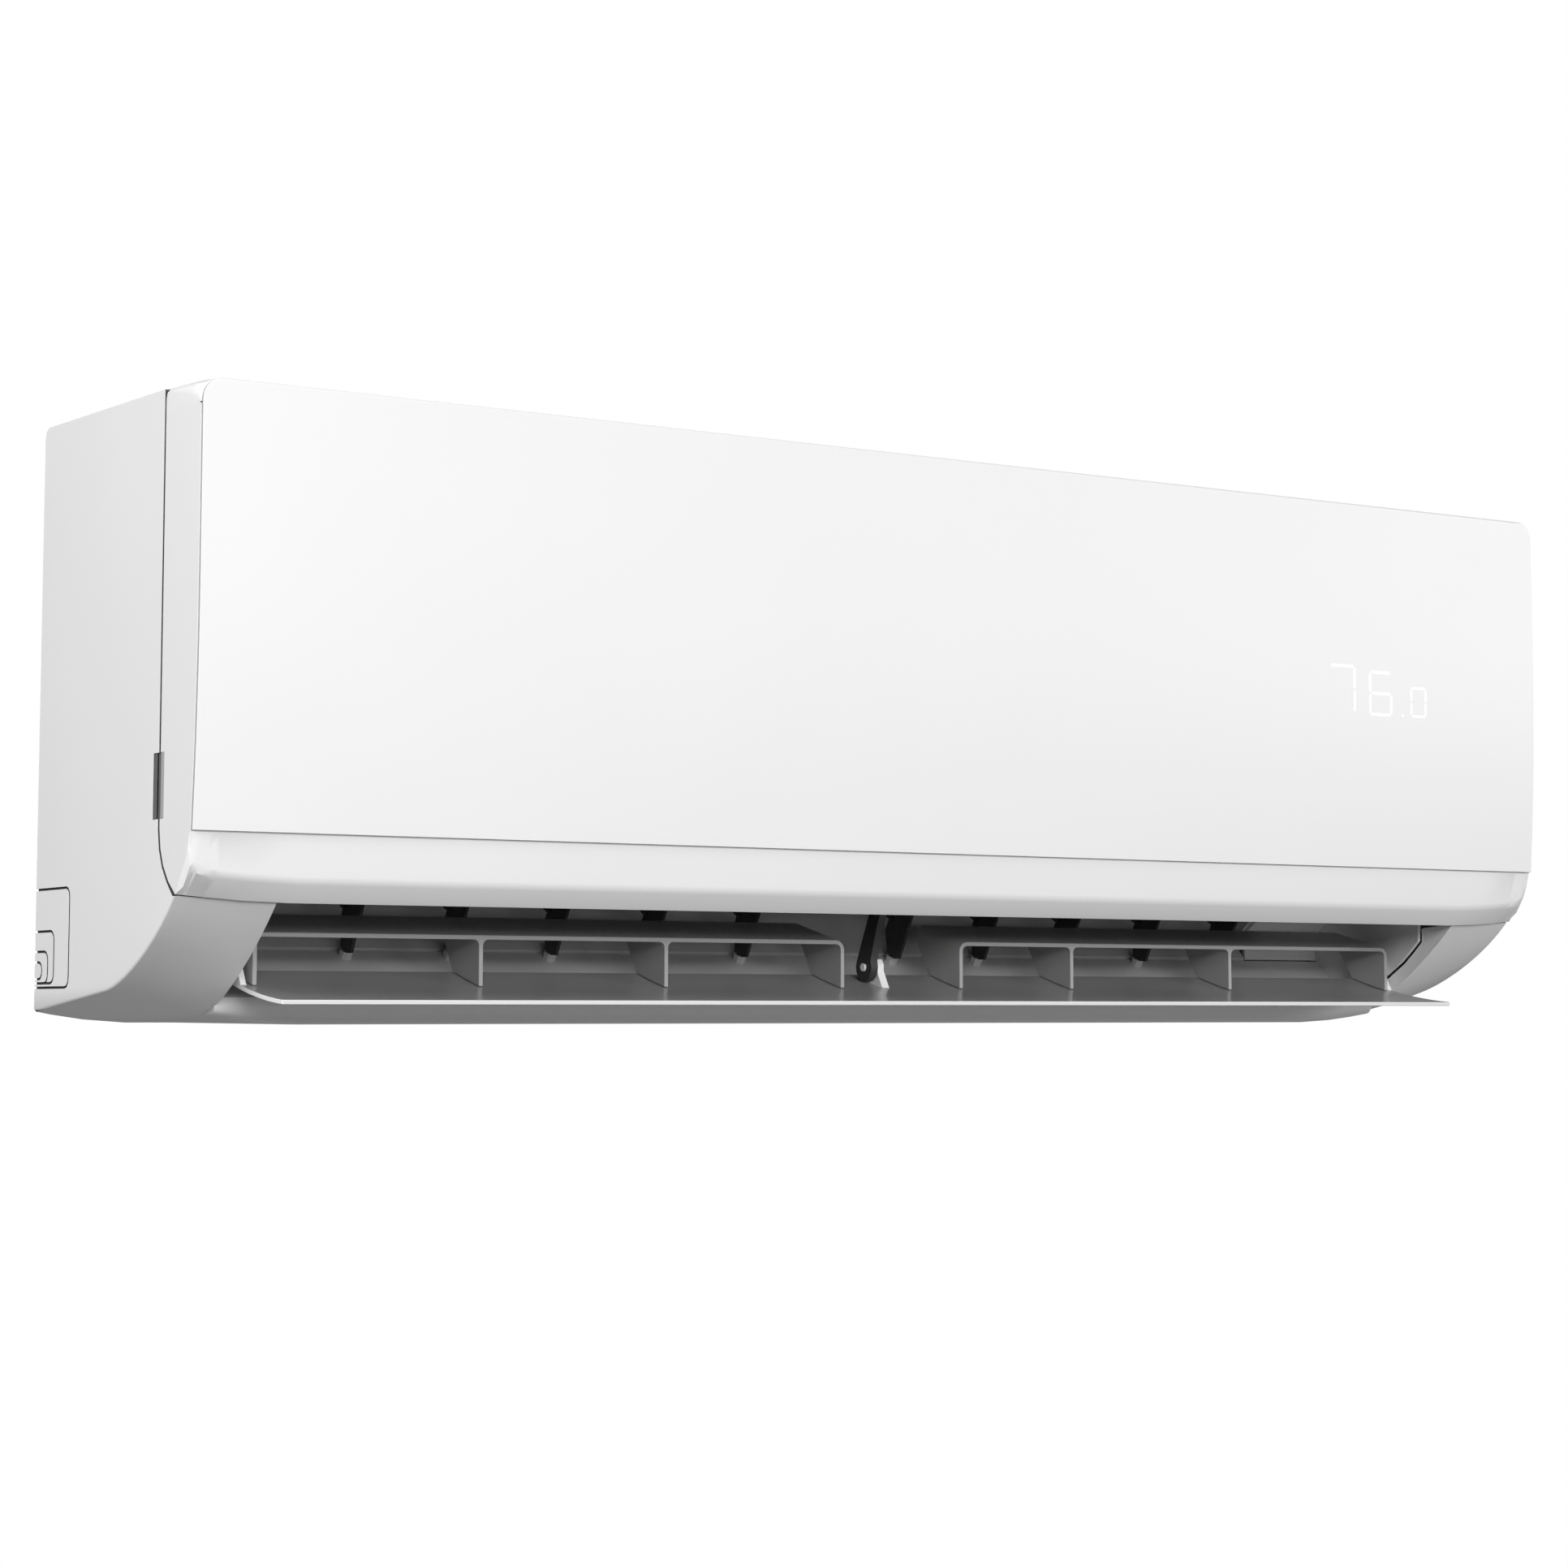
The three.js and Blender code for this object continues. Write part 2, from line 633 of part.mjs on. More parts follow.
function outletFrame() {
  const reach = frameHalf - 0.5; // the plates along the width end inside the end walls
  const below = floorTop.map(([depth, height]) =>
    [depth - floorSheet * 0.55, height - floorSheet * 0.85]).reverse();
  const floorPlate = along([...floorTop, ...below], -reach, reach);
  const ceiling = along(
    [[ceilingLip[0], ceilingLip[1] - 1.2], ceilingLip, [150, 60.5], [129, 76], [127.5, 73.8], [149, 58.4]],
    -reach,
    reach,
  );
  const pan = along(
    [
      [126, 73],
      [panFront, 73.5],
      [panFront, panTop],
      [panFront - 2, panTop],
      [panFront - 2, panFloor],
      [panRear, panFloor],
      [panRear, panTop - 3],
      [panRear - 2, panTop - 3],
      [panRear - 3, 80],
      tongue,
      [tongue[0] - 1.6, tongue[1] - 2],
    ],
    -reach,
    reach,
  );
  const webShape = [[150, 59.5], [152.5, 58.6], [152.5, 75], [150, 75]];
  const webs = [-1, -0.5, 0, 0.5, 1].map((share) =>
    along(webShape, share * (reach - 40) - 40, share * (reach - 40) + 40));
  const endShape = [
    ...floorTop.map(([depth, height]) => [depth - 0.3, height - 0.6]),
    [65.2, 44.4],
    [103.8, 72.9],
    [124.3, 74.4],
    [123.6, 82.5],
    [129.6, panTop - 3.6],
    [panFront - 0.6, panTop - 3.6],
    [panFront - 0.6, 74.2],
    [151.9, 74.2],
    [151.9, 56],
    [151, 39.5],
    [145, 34.2],
    [137, 27.8],
    [123.5, 19.6],
    [112, 13],
  ];
  const ends = [-1, 1].map((side) => along2(endShape, side * frameInner, side * frameHalf));
  const hole = rod(-frameHalf - 5, frameHalf + 5, pivotDepth, pivotHeight, louvrePin + pinGap, 12);
  const feet = [...vanePlaces(-1), ...vanePlaces(1)];
  const sockets = feet.map((x) => atVane(upright(socketOuter, -seat - socketTall - 5, -seat, 8), x));
  const bores = feet.map((x) => atVane(upright(vanePinRadius + pinGap, -6, 1, 8), x));
  const spout = rod(frameHalf - 1, frameHalf + 14, drainDepth, drainHeight, drainBore + 1.5, 12);
  const drain = rod(-frameHalf - 5, frameHalf + 20, drainDepth, drainHeight, drainBore, 12);
  const whole = join(floorPlate, ceiling, pan, ...webs, ...ends, ...sockets, spout);
  return cut(whole, hole, drain, ...bores);
}

place("outlet_frame", outletFrame(), innerWhite);

// ---------- louvre ----------
const louvreChord = [louvreFront[0] - louvreRear[0], louvreFront[1] - louvreRear[1]];
const louvreLength = Math.hypot(...louvreChord);
const louvreNormal = [-louvreChord[1] / louvreLength, louvreChord[0] / louvreLength];

// Point of the blade's inner face, a share of the way from the rear edge, sunk below it by an amount.
function louvreAt(share, sunk) {
  const sag = louvreSag * 4 * share * (1 - share) + sunk;
  const [depth, height] = mixPoint(louvreRear, louvreFront, share);
  return [depth - louvreNormal[0] * sag, height - louvreNormal[1] * sag];
}

function louvreSection(lift, sunk, count = 10) {
  const shares = Array.from({ length: count + 1 }, (unused, i) => i / count);
  return [...shares.map((s) => louvreAt(s, sunk)), ...shares.reverse().map((s) => louvreAt(s, -lift))];
}

const endLugWidth = 3;
const armWidth = 4;
const lugLeft = 0.4;
const lugRight = 4.9;

function louvreLug(left, right) {
  const shape = [
    louvreAt(0.1, 1),
    louvreAt(0.38, 1),
    ...arc([pivotDepth, pivotHeight], 5.2, -20, 200, 6),
  ];
  return along(shape, left, right);
}

function louvreBlade() {
  const blade = along(louvreSection(0, bladeSheet), -louvreHalf, louvreHalf);
  const ends = [-1, 1].map((side) => {
    const inner = side * (louvreHalf - endLugWidth);
    const outer = side * louvreHalf;
    return louvreLug(Math.min(inner, outer), Math.max(inner, outer));
  });
  const endPins = [-1, 1].map((side) => {
    const inner = side * (louvreHalf - 1);
    const outer = side * (frameHalf + 1.5);
    return rod(Math.min(inner, outer), Math.max(inner, outer), pivotDepth, pivotHeight, louvrePin, 16);
  });
  const middlePin = rod(-armWidth - 1.4, lugLeft + 1, pivotDepth, pivotHeight, louvrePin, 16);
  return join(blade, ...ends, ...endPins, louvreLug(lugLeft, lugRight), middlePin);
}

place("louvre_blade", louvreBlade(), white);

// An inner blade: a bent sheet on ribs, like a low bridge, that stands on the louvre's inner face.
function innerBlade([left, right], ribs) {
  const top = innerBladeFront[1];
  const round = 5;
  const rib = bladeSheet;
  const shape = new THREE.Shape();
  shape.moveTo(left, -20);
  shape.lineTo(left, top - round);
  shape.absarc(left + round, top - round, round, Math.PI, Math.PI / 2, true);
  shape.lineTo(right - round, top);
  shape.absarc(right - round, top - round, round, Math.PI / 2, 0, true);
  shape.lineTo(right, -20);
  const bars = [right, ...[...ribs].reverse(), left];
  for (let i = 0; i < bars.length - 1; i += 1) {
    const from = i === 0 ? bars[i] - rib : bars[i] - rib / 2;
    const to = i === bars.length - 2 ? bars[i + 1] + rib : bars[i + 1] + rib / 2;
    const bend = round - rib;
    shape.lineTo(from, -20);
    shape.lineTo(from, top - rib - bend);
    shape.absarc(from - bend, top - rib - bend, bend, 0, Math.PI / 2, false);
    shape.lineTo(to + bend, top - rib);
    shape.absarc(to + bend, top - rib - bend, bend, Math.PI / 2, Math.PI, false);
    shape.lineTo(to, -20);
  }
  const body = new THREE.ExtrudeGeometry(shape,
    { depth: innerBladeReach, bevelEnabled: false, curveSegments: 3 });
  body.rotateX(Math.PI / 2);
  const at = body.attributes.position;
  for (let i = 0; i < at.count; i += 1) {
    const behind = at.getY(i) + innerBladeReach;
    at.setY(i, behind - innerBladeFront[0]);
    at.setZ(i, at.getZ(i) + behind * innerBladeSlope);
  }
  const rearTop = top + innerBladeReach * innerBladeSlope;
  const above = louvreSection(0, -seat).slice(0, 11);
  const heel = [[60, -60], [60, rearTop - 5], [innerBladeFront[0] - innerBladeReach - 2, rearTop - 5]];
  const clearance = along([...heel, ...above, [190, -60]], left - 5, right + 5);
  return cut(body, clearance);
}

place("inner_blade_left", innerBlade(innerBladeLeft, ribsLeft), white);
place("inner_blade_right", innerBlade(innerBladeRight, ribsRight), white);

// The black arm that carries the louvre in the middle hangs from the duct ceiling.
function supportArm() {
  const shape = [
    [133.6, 67.2],
    ...arc([pivotDepth, pivotHeight], 7.2, 150, 385, 10),
    [133, 44],
    [142.5, 61.2],
  ];
  const plate = along(shape, -lugLeft - 0.2 - armWidth, -lugLeft + 0.2);
  return cut(plate, rod(-20, 20, pivotDepth, pivotHeight, louvrePin + pinGap, 16));
}

place("louvre_support_arm", supportArm(), blackPlastic);

function louvreMotor() {
  const left = frameHalf + 1.9;
  const body = rod(left, left + 16, pivotDepth, pivotHeight + 12, 12, 18);
  const flange = block(left, left + 1.5, pivotDepth - 17, pivotDepth + 17, pivotHeight + 8.5,
    pivotHeight + 15.5);
  const neck = rod(left, left + 3, pivotDepth, pivotHeight + 2, 3, 12);
  return cut(join(body, flange, neck), block(left - 1, left + 20, 60, 180, -20, pivotHeight - 0.2));
}

place("louvre_motor", louvreMotor(), zinc);

// ---------- vanes and link bars ----------
function vane() {
  const low = 0.4;
  const slot = linkHeight + 1;
  const shape = outline([
    [vaneHalfChord, low + 2],
    [vaneHalfChord, vaneTall],
    [-vaneHalfChord, vaneTall],
    [-vaneHalfChord, slot + 4],
    [-5, slot + 4],
    [-5, slot - 2],
    [-vaneHalfChord, slot - 3],
    [-vaneHalfChord, low + 10],
    [-2, low],
    [vaneHalfChord - 4, low],
  ]);
  const sheet = new THREE.ExtrudeGeometry(shape, { depth: 1.6, bevelEnabled: false });
  sheet.rotateX(Math.PI / 2).rotateZ(-Math.PI / 2).translate(-0.8, 0, 0);
  const pin = upright(vanePinRadius, -4.4, 1.6, 6);
  const hub = upright(2.6, 0.4, 3.4, 6);
  const ear = new THREE.BoxGeometry(5, 10.6, 2).translate(0, 10.6, linkHeight - 1);
  const eye = upright(1.6, linkHeight - 4, linkHeight + 4, 6).translate(0, linkReach, 0);
  return cut(join(sheet, pin, hub, ear), eye);
}

function linkBar(places) {
  const left = Math.min(...places) - 5;
  const right = Math.max(...places) + 5;
  const bar = new THREE.BoxGeometry(right - left, 4, 2);
  bar.translate((left + right) / 2, linkReach, linkHeight + seat + 1);
  const pins = places.map((x) => upright(1.2, linkHeight - 2.6, linkHeight + 0.8, 6).translate(x,
    linkReach, 0));
  return join(bar, ...pins);
}

for (const [side, word] of [[-1, "left"], [1, "right"]]) {
  vanePlaces(side).forEach((x, i) => place(`vane_${word}_${i + 1}`, atVane(vane(), x), blackPlastic));
  place(`link_bar_${word}`, atVane(linkBar(vanePlaces(side)), 0), blackPlastic);
}

// ---------- rear chassis ----------
const backRear = plateSheet + seat;
const backSheet = 2.5;
const scrollSheet = 2;

// Spiral round the fan: the gap opens from the upper rear towards the outlet.
function spiral(extra, count = 12) {
  const points = [];
  for (let i = 0; i <= count; i += 1) {
    const share = i / count;
    const angle = THREE.MathUtils.degToRad(135 + 108 * share);
    const radius = fanRadius + 5 + 26 * share ** 1.6 + extra;
    points.push([fanDepth + radius * Math.cos(angle), fanHeight + radius * Math.sin(angle)]);
  }
  return points;
}

const chassisHalf = insideHalf - seat;
const bearingHole = 13;
const motorRings = [motorLeft + 10.5, motorRight - 15];

function rearChassis() {
  const back = block(-chassisHalf, chassisHalf, backRear, backRear + backSheet, 7, endWallHeight - 5.7);
  const inner = spiral(0);
  const outer = spiral(scrollSheet).reverse();
  const tail = [[63.6, 28.4]];
  const scroll = along([...inner, [65, 30.6], ...tail, ...outer], bulkheadLeft[0], bulkheadRight[1]);
  const hangers = [fanLeft + 43, -150, 0, 150, fanRight].map((x) =>
    along([[backRear + 1, 60], [backRear + 1, 150], [34, 148], [33, 120], [38, 84], [44, 66]], x - 1,
      x + 1));
  const bulkShape = [
    [backRear + 1, 60],
    [42, 62],
    [62, 36],
    [64, 45],
    [100, 71],
    [122, 76],
    [122, 90],
    [136, 93],
    [136, 160],
    [96, 236],
    [60, 172],
    [40, 172],
    [backRear + 1, 190],
  ];
  const hub = rod(bulkheadLeft[0] - 1, bulkheadRight[1] + 1, fanDepth, fanHeight, bearingHole, 16);
  const left = along(bulkShape, ...bulkheadLeft);
  const right = along(bulkShape, ...bulkheadRight);
  const cradles = motorRings.map((x) =>
    cut(
      along([[backRear + 1, 66], [fanDepth - 2, 66], [fanDepth - 2, 166], [backRear + 1, 166]], x + 0.5,
        x + 4.5),
      rod(x - 1, x + 6, fanDepth, fanHeight, motorRadius + 2.9, 24),
    ));
  const bosses = [-1, 1].map((side) =>
    peg(motorLeft + 34, fanHeight + side * 51, backRear + 1, fanDepth - 2.3 - seat, 4.2, 12));
  const slots = [-150, 150].map((x) => block(x - 16, x + 16, -1, 8, plateTop - 7, plateTop + 1));
  // Closes the duct where it is wider than the fan.
  const blankWall = along(
    [[66, 29.6], [66, 44], [104, 72], [125, 73.9], [125, 75.5], [103.5, 73.7], [64.4, 44.8], [64.4, 29.6]],
    bulkheadRight[1] - 0.5,
    frameInner - seat,
  );
  return join(cut(join(back, left, right), hub, ...slots), scroll, blankWall, ...hangers, ...cradles,
    ...bosses);
}

place("rear_chassis", rearChassis(), innerWhite);

// ---------- mounting plate ----------
function mountingPlate() {
  const corner = 14;
  const shape = new THREE.Shape();
  shape.moveTo(-plateHalf + corner, plateBottom);
  shape.lineTo(-60, plateBottom);
  shape.lineTo(-52, plateBottom + 14);
  shape.lineTo(52, plateBottom + 14);
  shape.lineTo(60, plateBottom);
  shape.lineTo(plateHalf - corner, plateBottom);
  shape.lineTo(plateHalf, plateBottom + corner);
  shape.lineTo(plateHalf, plateTop - corner);
  shape.lineTo(plateHalf - corner, plateTop);
  shape.lineTo(-plateHalf + corner, plateTop);
  shape.lineTo(-plateHalf, plateTop - corner);
  shape.lineTo(-plateHalf, plateBottom + corner);
  const sheet = new THREE.ExtrudeGeometry(shape, { depth: plateSheet, bevelEnabled: false });
  sheet.rotateX(Math.PI / 2);
  const hooks = [-150, 150].map((x) => {
    const tongueBlock = block(x - 14, x + 14, plateSheet - 0.4, 7.4, plateTop - 5.6, plateTop - 4.4);
    const lipBlock = block(x - 14, x + 14, 6.2, 7.4, plateTop - 5.6, plateTop + 4);
    return join(tongueBlock, lipBlock);
  });
  const holes = [-200, -40, 120].flatMap((x) =>
    [plateBottom + 24, plateTop - 24].map((z) => peg(x, z, -2, 4, 3, 8)));
  const windows = [-160, -80, 80, 160].map((x) => block(x - 22, x + 22, -2, 4, 130, 190));
  return join(cut(sheet, ...holes, ...windows), ...hooks);
}

place("mounting_plate", mountingPlate(), zinc);

// ---------- fan ----------
function fanWheel() {
  const span = (fanRight - fanLeft - fanDisc) / fanSections;
  const discs = [];
  for (let i = 0; i <= fanSections; i += 1) {
    const left = fanLeft + i * span;
    const closed = i === 0 || i === fanSections;
    discs.push(closed
      ? rod(left, left + fanDisc, fanDepth, fanHeight, fanRadius, 20)
      : ring(left, left + fanDisc, fanDepth, fanHeight, fanRadius, fanRadius - 12, 20));
  }
  // A forward-curved blade: a thin arc between two radii.
  const inner = fanRadius - 10.5;
  const outer = fanRadius - 0.8;
  const blade = outline([[inner, 0], [inner + 5.4, 1.6], [outer, 5.4], [inner + 4, 3]]);
  const blades = [];
  for (let i = 0; i < fanBlades; i += 1) {
    const geometry = new THREE.ExtrudeGeometry(blade,
      { depth: fanRight - fanLeft - 1, bevelEnabled: false });
    geometry.rotateZ((2 * Math.PI * i) / fanBlades).applyMatrix4(sectionToRoom);
    blades.push(geometry.translate(fanRight - 0.5, -fanDepth, fanHeight));
  }
  const hub = rod(fanRight - 30, fanRight - 1, fanDepth, fanHeight, 11, 20);
  const bore = rod(fanRight - 26, fanRight + 5, fanDepth, fanHeight, shaftRadius + seat, 16);
  const stubBore = rod(fanLeft - 5, fanLeft + 5, fanDepth, fanHeight, shaftRadius + seat, 16);
  const stubHub = rod(fanLeft + 1, fanLeft + 7, fanDepth, fanHeight, 9, 16);
  return cut(join(...discs, ...blades, hub, stubHub), bore, stubBore);
}

place("fan_wheel", fanWheel(), darkGrey);
place("fan_stub", rod(fanLeft - 14, fanLeft + 4.7, fanDepth, fanHeight, shaftRadius, 20), steel);
place("motor_shaft", rod(fanRight - 25.7, motorLeft + 20, fanDepth, fanHeight, shaftRadius, 20), steel);
place("bearing_holder", ring(fanLeft - 12, fanLeft - 4, fanDepth, fanHeight, bearingHole - seat, 8, 16),
  rubber);
place("bearing_bush", ring(fanLeft - 11, fanLeft - 5, fanDepth, fanHeight, 8 - seat, shaftRadius + seat,
  16), brass);

// ---------- fan motor and clamp ----------
function fanMotor() {
  const profile = [
    [0, 0],
    [motorRadius - 12, 0],
    [motorRadius - 8, 8],
    [motorRadius - 2, 10],
    [motorRadius, 12],
    [motorRadius, 52],
    [motorRadius - 2, 54],
    [motorRadius - 8, 56],
    [motorRadius - 12, motorLong],
    [0, motorLong],
  ].map(([r, h]) => new THREE.Vector2(r, h));
  const body = new THREE.LatheGeometry(profile, 24).rotateZ(-Math.PI / 2).translate(motorLeft,
    -fanDepth, fanHeight);
  const bore = rod(motorLeft - 5, motorLeft + 21, fanDepth, fanHeight, shaftRadius + seat, 20);
  return cut(body, bore);
}

place("fan_motor", fanMotor(), zinc);
place("motor_ring_left", ring(motorRings[0], motorRings[0] + 5, fanDepth, fanHeight, motorRadius + 2.6,
  motorRadius + seat, 24), rubber);
place("motor_ring_right", ring(motorRings[1], motorRings[1] + 5, fanDepth, fanHeight, motorRadius + 2.6,
  motorRadius + seat, 24), rubber);

function motorClamp() {
  const left = motorLeft + 26;
  const right = motorLeft + 42;
  const strap = ring(left, right, fanDepth, fanHeight, motorRadius + 2.4, motorRadius + seat, 24);
  const frontHalf = keep(strap, block(left - 1, right + 1, fanDepth, fanDepth + 60, 0, 250));
  const ears = [-1, 1].map((side) => {
    const near = fanHeight + side * (motorRadius + 1);
    const far = fanHeight + side * (motorRadius + 14);
    return block(left, right, fanDepth - 2.3, fanDepth, Math.min(near, far), Math.max(near, far));
  });
  const holes = [-1, 1].map((side) =>
    peg((left + right) / 2, fanHeight + side * 51, fanDepth - 5, fanDepth + 5, 2.3, 12));
  return cut(join(frontHalf, ...ears), ...holes);
}

place("motor_clamp", motorClamp(), zinc);

// A pan-head screw seen from its seat, along +y into the wall side.
function screw(x, height, seatDepth, length, shank, head) {
  const headPart = peg(x, height, seatDepth + seat, seatDepth + seat + 2, head, 10);
  return join(headPart, peg(x, height, seatDepth - length, seatDepth + seat + 0.5, shank, 8));
}

for (const [side, word] of [[-1, "lower"], [1, "upper"]]) {
  place(`motor_screw_${word}`, screw(motorLeft + 34, fanHeight + side * 51, fanDepth, 2, 2, 4), steel);
}

// ---------- evaporator ----------
const coilJoint = 172;
// Each slab is a rectangle on its inner edge: a start, a direction and a length; the thickness lies
// outside.
const slabs = {
  coil_front_lower: { start: [138, 86], direction: [0, 1], length: 85, outward: [1, 0], tubes: 4 },
  coil_front_upper: { start: [138, coilJoint + 1], direction: [-0.4946, 0.8691], length: 80,
    outward: [0.8691, 0.4946], tubes: 4 },
  coil_rear: { start: [58, 177], direction: [0.4366, 0.8997], length: 72, outward: [-0.8997, 0.4366],
    tubes: 3 },
};

function slabPoint(slab, run, out) {
  return [
    slab.start[0] + slab.direction[0] * run + slab.outward[0] * out,
    slab.start[1] + slab.direction[1] * run + slab.outward[1] * out,
  ];
}

function slabOutline(slab, margin = 0) {
  return [
    slabPoint(slab, -margin, -margin),
    slabPoint(slab, -margin, coilThickness + margin),
    slabPoint(slab, slab.length + margin, coilThickness + margin),
    slabPoint(slab, slab.length + margin, -margin),
  ];
}

function anticlockwise(points) {
  return THREE.ShapeUtils.isClockWise(points.map(([u, v]) =>
    new THREE.Vector2(u, v))) ? [...points].reverse() : points;
}

for (const [name, slab] of Object.entries(slabs)) {
  place(name, along(anticlockwise(slabOutline(slab)), coilLeft, coilRight), finned);
}

const sheetMetal = 1.2;
const tubeRows = [6.3, coilThickness - 6.3];
const firstTube = (slab) => (slab.length - (slab.tubes - 1) * tubePitch) / 2;

// A return bend joins two tubes of a slab, one pitch apart. It is brazed into the tube sheet.
function returnBend(slab, run, out, side) {
  const face = side < 0 ? coilLeft - seat - 0.3 : coilRight + seat + 0.3;
  const radius = tubePitch / 2;
  const points = [];
  for (let i = 0; i <= 8; i += 1) {
    const angle = (Math.PI * i) / 8;
    const [depth, height] = slabPoint(slab, run + radius - radius * Math.cos(angle), out);
    points.push(new THREE.Vector3(face + side * radius * 1.1 * Math.sin(angle), -depth, height));
  }
  const path = new THREE.CatmullRomCurve3(points);
  return new THREE.ExtrudeGeometry(disc(tubeRadius, 6),
    { steps: 5, extrudePath: path, bevelEnabled: false });
}

function tubeSheet(side) {
  const left = side < 0 ? coilLeft - seat - sheetMetal : coilRight + seat;
  const plates = Object.values(slabs).map((slab) =>
    along(anticlockwise(slabOutline(slab, 1.2)), left, left + sheetMetal));
  const bridge = along([[96, 240], [112, 252], [84, 258], [80, 244]], left, left + sheetMetal);
  const knee = along([[138, 165], [163, 165], [160, 186], [136, 176]], left, left + sheetMetal);
  const bends = [];
  for (const slab of Object.values(slabs)) {
    for (let tube = side < 0 ? 0 : 1; tube < slab.tubes - 1; tube += 2) {
      for (const row of tubeRows) {
        bends.push(returnBend(slab, firstTube(slab) + tube * tubePitch, row, side));
      }
    }
  }
  return join(...plates, bridge, knee, ...bends);
}

place("tube_sheet_left", tubeSheet(-1), zinc);
place("tube_sheet_right", tubeSheet(1), zinc);

// ---------- pipes ----------
function bentPipe(points, radius, sides) {
  const path = new THREE.CurvePath();
  const corners = points.map(([x, depth, height]) => new THREE.Vector3(x, -depth, height));
  const bend = 15;
  let from = corners[0];
  for (let i = 1; i < corners.length - 1; i += 1) {
    const reach = Math.min(bend, 0.8 * corners[i].distanceTo(corners[i - 1]));
    const before = corners[i].clone().add(corners[i - 1].clone().sub(corners[i]).setLength(reach));
    const after = corners[i].clone().add(corners[i + 1].clone().sub(corners[i]).setLength(reach));
    path.add(new THREE.LineCurve3(from, before));
    path.add(new THREE.QuadraticBezierCurve3(before, corners[i], after));
    from = after;
  }
  path.add(new THREE.LineCurve3(from, corners.at(-1)));
  return new THREE.ExtrudeGeometry(disc(radius, sides),
    { steps: 30, extrudePath: path, bevelEnabled: false });
}

const pipeStart = coilRight + seat + sheetMetal + seat;
const pipeEnd = -60;
const liquidRun = { x: fanRight + 15, depth: 34, height: 46, radius: 3.2 };
const suctionRun = { x: fanRight + 16, depth: 18, height: 24, radius: 4.8 };

function coilPipe(run, row, sides) {
  const [depth, height] = slabPoint(slabs.coil_rear, firstTube(slabs.coil_rear), row);
  return bentPipe([
    [pipeStart, depth, height],
    [run.x, depth, height],
    [run.x, run.depth, height - 30],
    [run.x, run.depth, run.height],
    [pipeEnd, run.depth, run.height],
  ], run.radius, sides);
}

place("liquid_pipe", coilPipe(liquidRun, tubeRows[0], 6), copper);
place("suction_pipe", coilPipe(suctionRun, tubeRows[1], 8), copper);

function flareNut({ depth, height }, radius) {
  const left = pipeEnd - seat;
  const hex = rod(left - 18, left, depth, height, radius, 6);
  return join(hex, rod(left - 24, left - 17.5, depth, height, radius * 0.7, 10));
}

place("liquid_nut", flareNut(liquidRun, 9), brass);
place("suction_nut", flareNut(suctionRun, 12), brass);

// ---------- air filters ----------
function airFilter(left, right) {
  const net = along(filterBand(1, 1 + filterSheet, filterFoot, filterRear), left, right);
  const bars = [];
  const columns = 3;
  for (let i = 0; i <= columns; i += 1) {
    const x = mix(left + 2, right - 2, i / columns);
    bars.push(along(filterBand(0.2, guideOuter - seat, filterFoot, filterRear), x - 2, x + 2));
  }
  const rails = [
    block(left, right, filterFront - guideOuter + seat, filterFront - 0.2, filterFoot, filterFoot + 5),
    block(left, right, filterRear, filterRear + 5, filterTop - guideOuter + seat, filterTop - 0.2),
    block(left, right, filterFront - guideOuter + seat, filterFront - 0.2, 160, 164),
  ];
  const handle = block((left + right) / 2 - 20, (left + right) / 2 + 20, filterFront - 1,
    filterFront + 3, filterFoot + 8, filterFoot + 10);
  return join(net, ...bars, ...rails, handle);
}

place("air_filter_left", airFilter(guidesAt[0] + 2.5, -2 - filterGap), filterNet);
place("air_filter_right", airFilter(2 + filterGap, filterRightEnd + 1.4), filterNet);

// ---------- electrics ----------
function controlBox() {
  const outer = block(boxLeft, boxRight, boxRear, boxFront, boxLow, boxHigh);
  const hollow = block(boxLeft + 2, boxRight - 2, boxRear + 2, boxFront + 5, boxLow + 2, boxHigh - 2);
  const shell = cut(outer, hollow);
  const bosses = boxScrews.map(([x, z]) =>
    cut(peg(x, z, boxRear + 1, boxFront, 4, 12), peg(x, z, boxFront - 9, boxFront + 1, 1.8, 10)));
  const standoffs = [[boxLeft + 9, boxLow + 20], [boxRight - 9, boxLow + 20],
    [boxRight - 9, boxHigh - 22], [boxLeft + 9, boxHigh - 22]];
  const feet = standoffs.map(([x, z]) => peg(x, z, boxRear + 1, boardRear - seat, 2.6, 8));
  return join(shell, ...bosses, ...feet);
}

place("control_box", controlBox(), innerWhite);

const buttonX = boxLeft + 38;
const buttonZ = 124;
const buttonRadius = 3.5;

function boxCover() {
  const sheet = block(boxLeft, boxRight, boxFront + seat, boxFront + seat + 1, boxLow, boxHigh);
  const holes = boxScrews.map(([x, z]) => peg(x, z, boxFront - 1, boxFront + 3, 2.3, 12));
  return cut(sheet, ...holes, peg(buttonX, buttonZ, boxFront - 1, boxFront + 3, buttonRadius + seat, 20));
}

place("control_box_cover", boxCover(), zinc);
boxScrews.forEach(([x, z], i) =>
  place(`control_box_screw_${i + 1}`, screw(x, z, boxFront + seat + 1, 8, 1.5, 3.4), steel));

const boardFront = boardRear + boardSheet;
const buttonTravel = 1.2;
const buttonRear = boardFront + 4 + seat + buttonTravel;

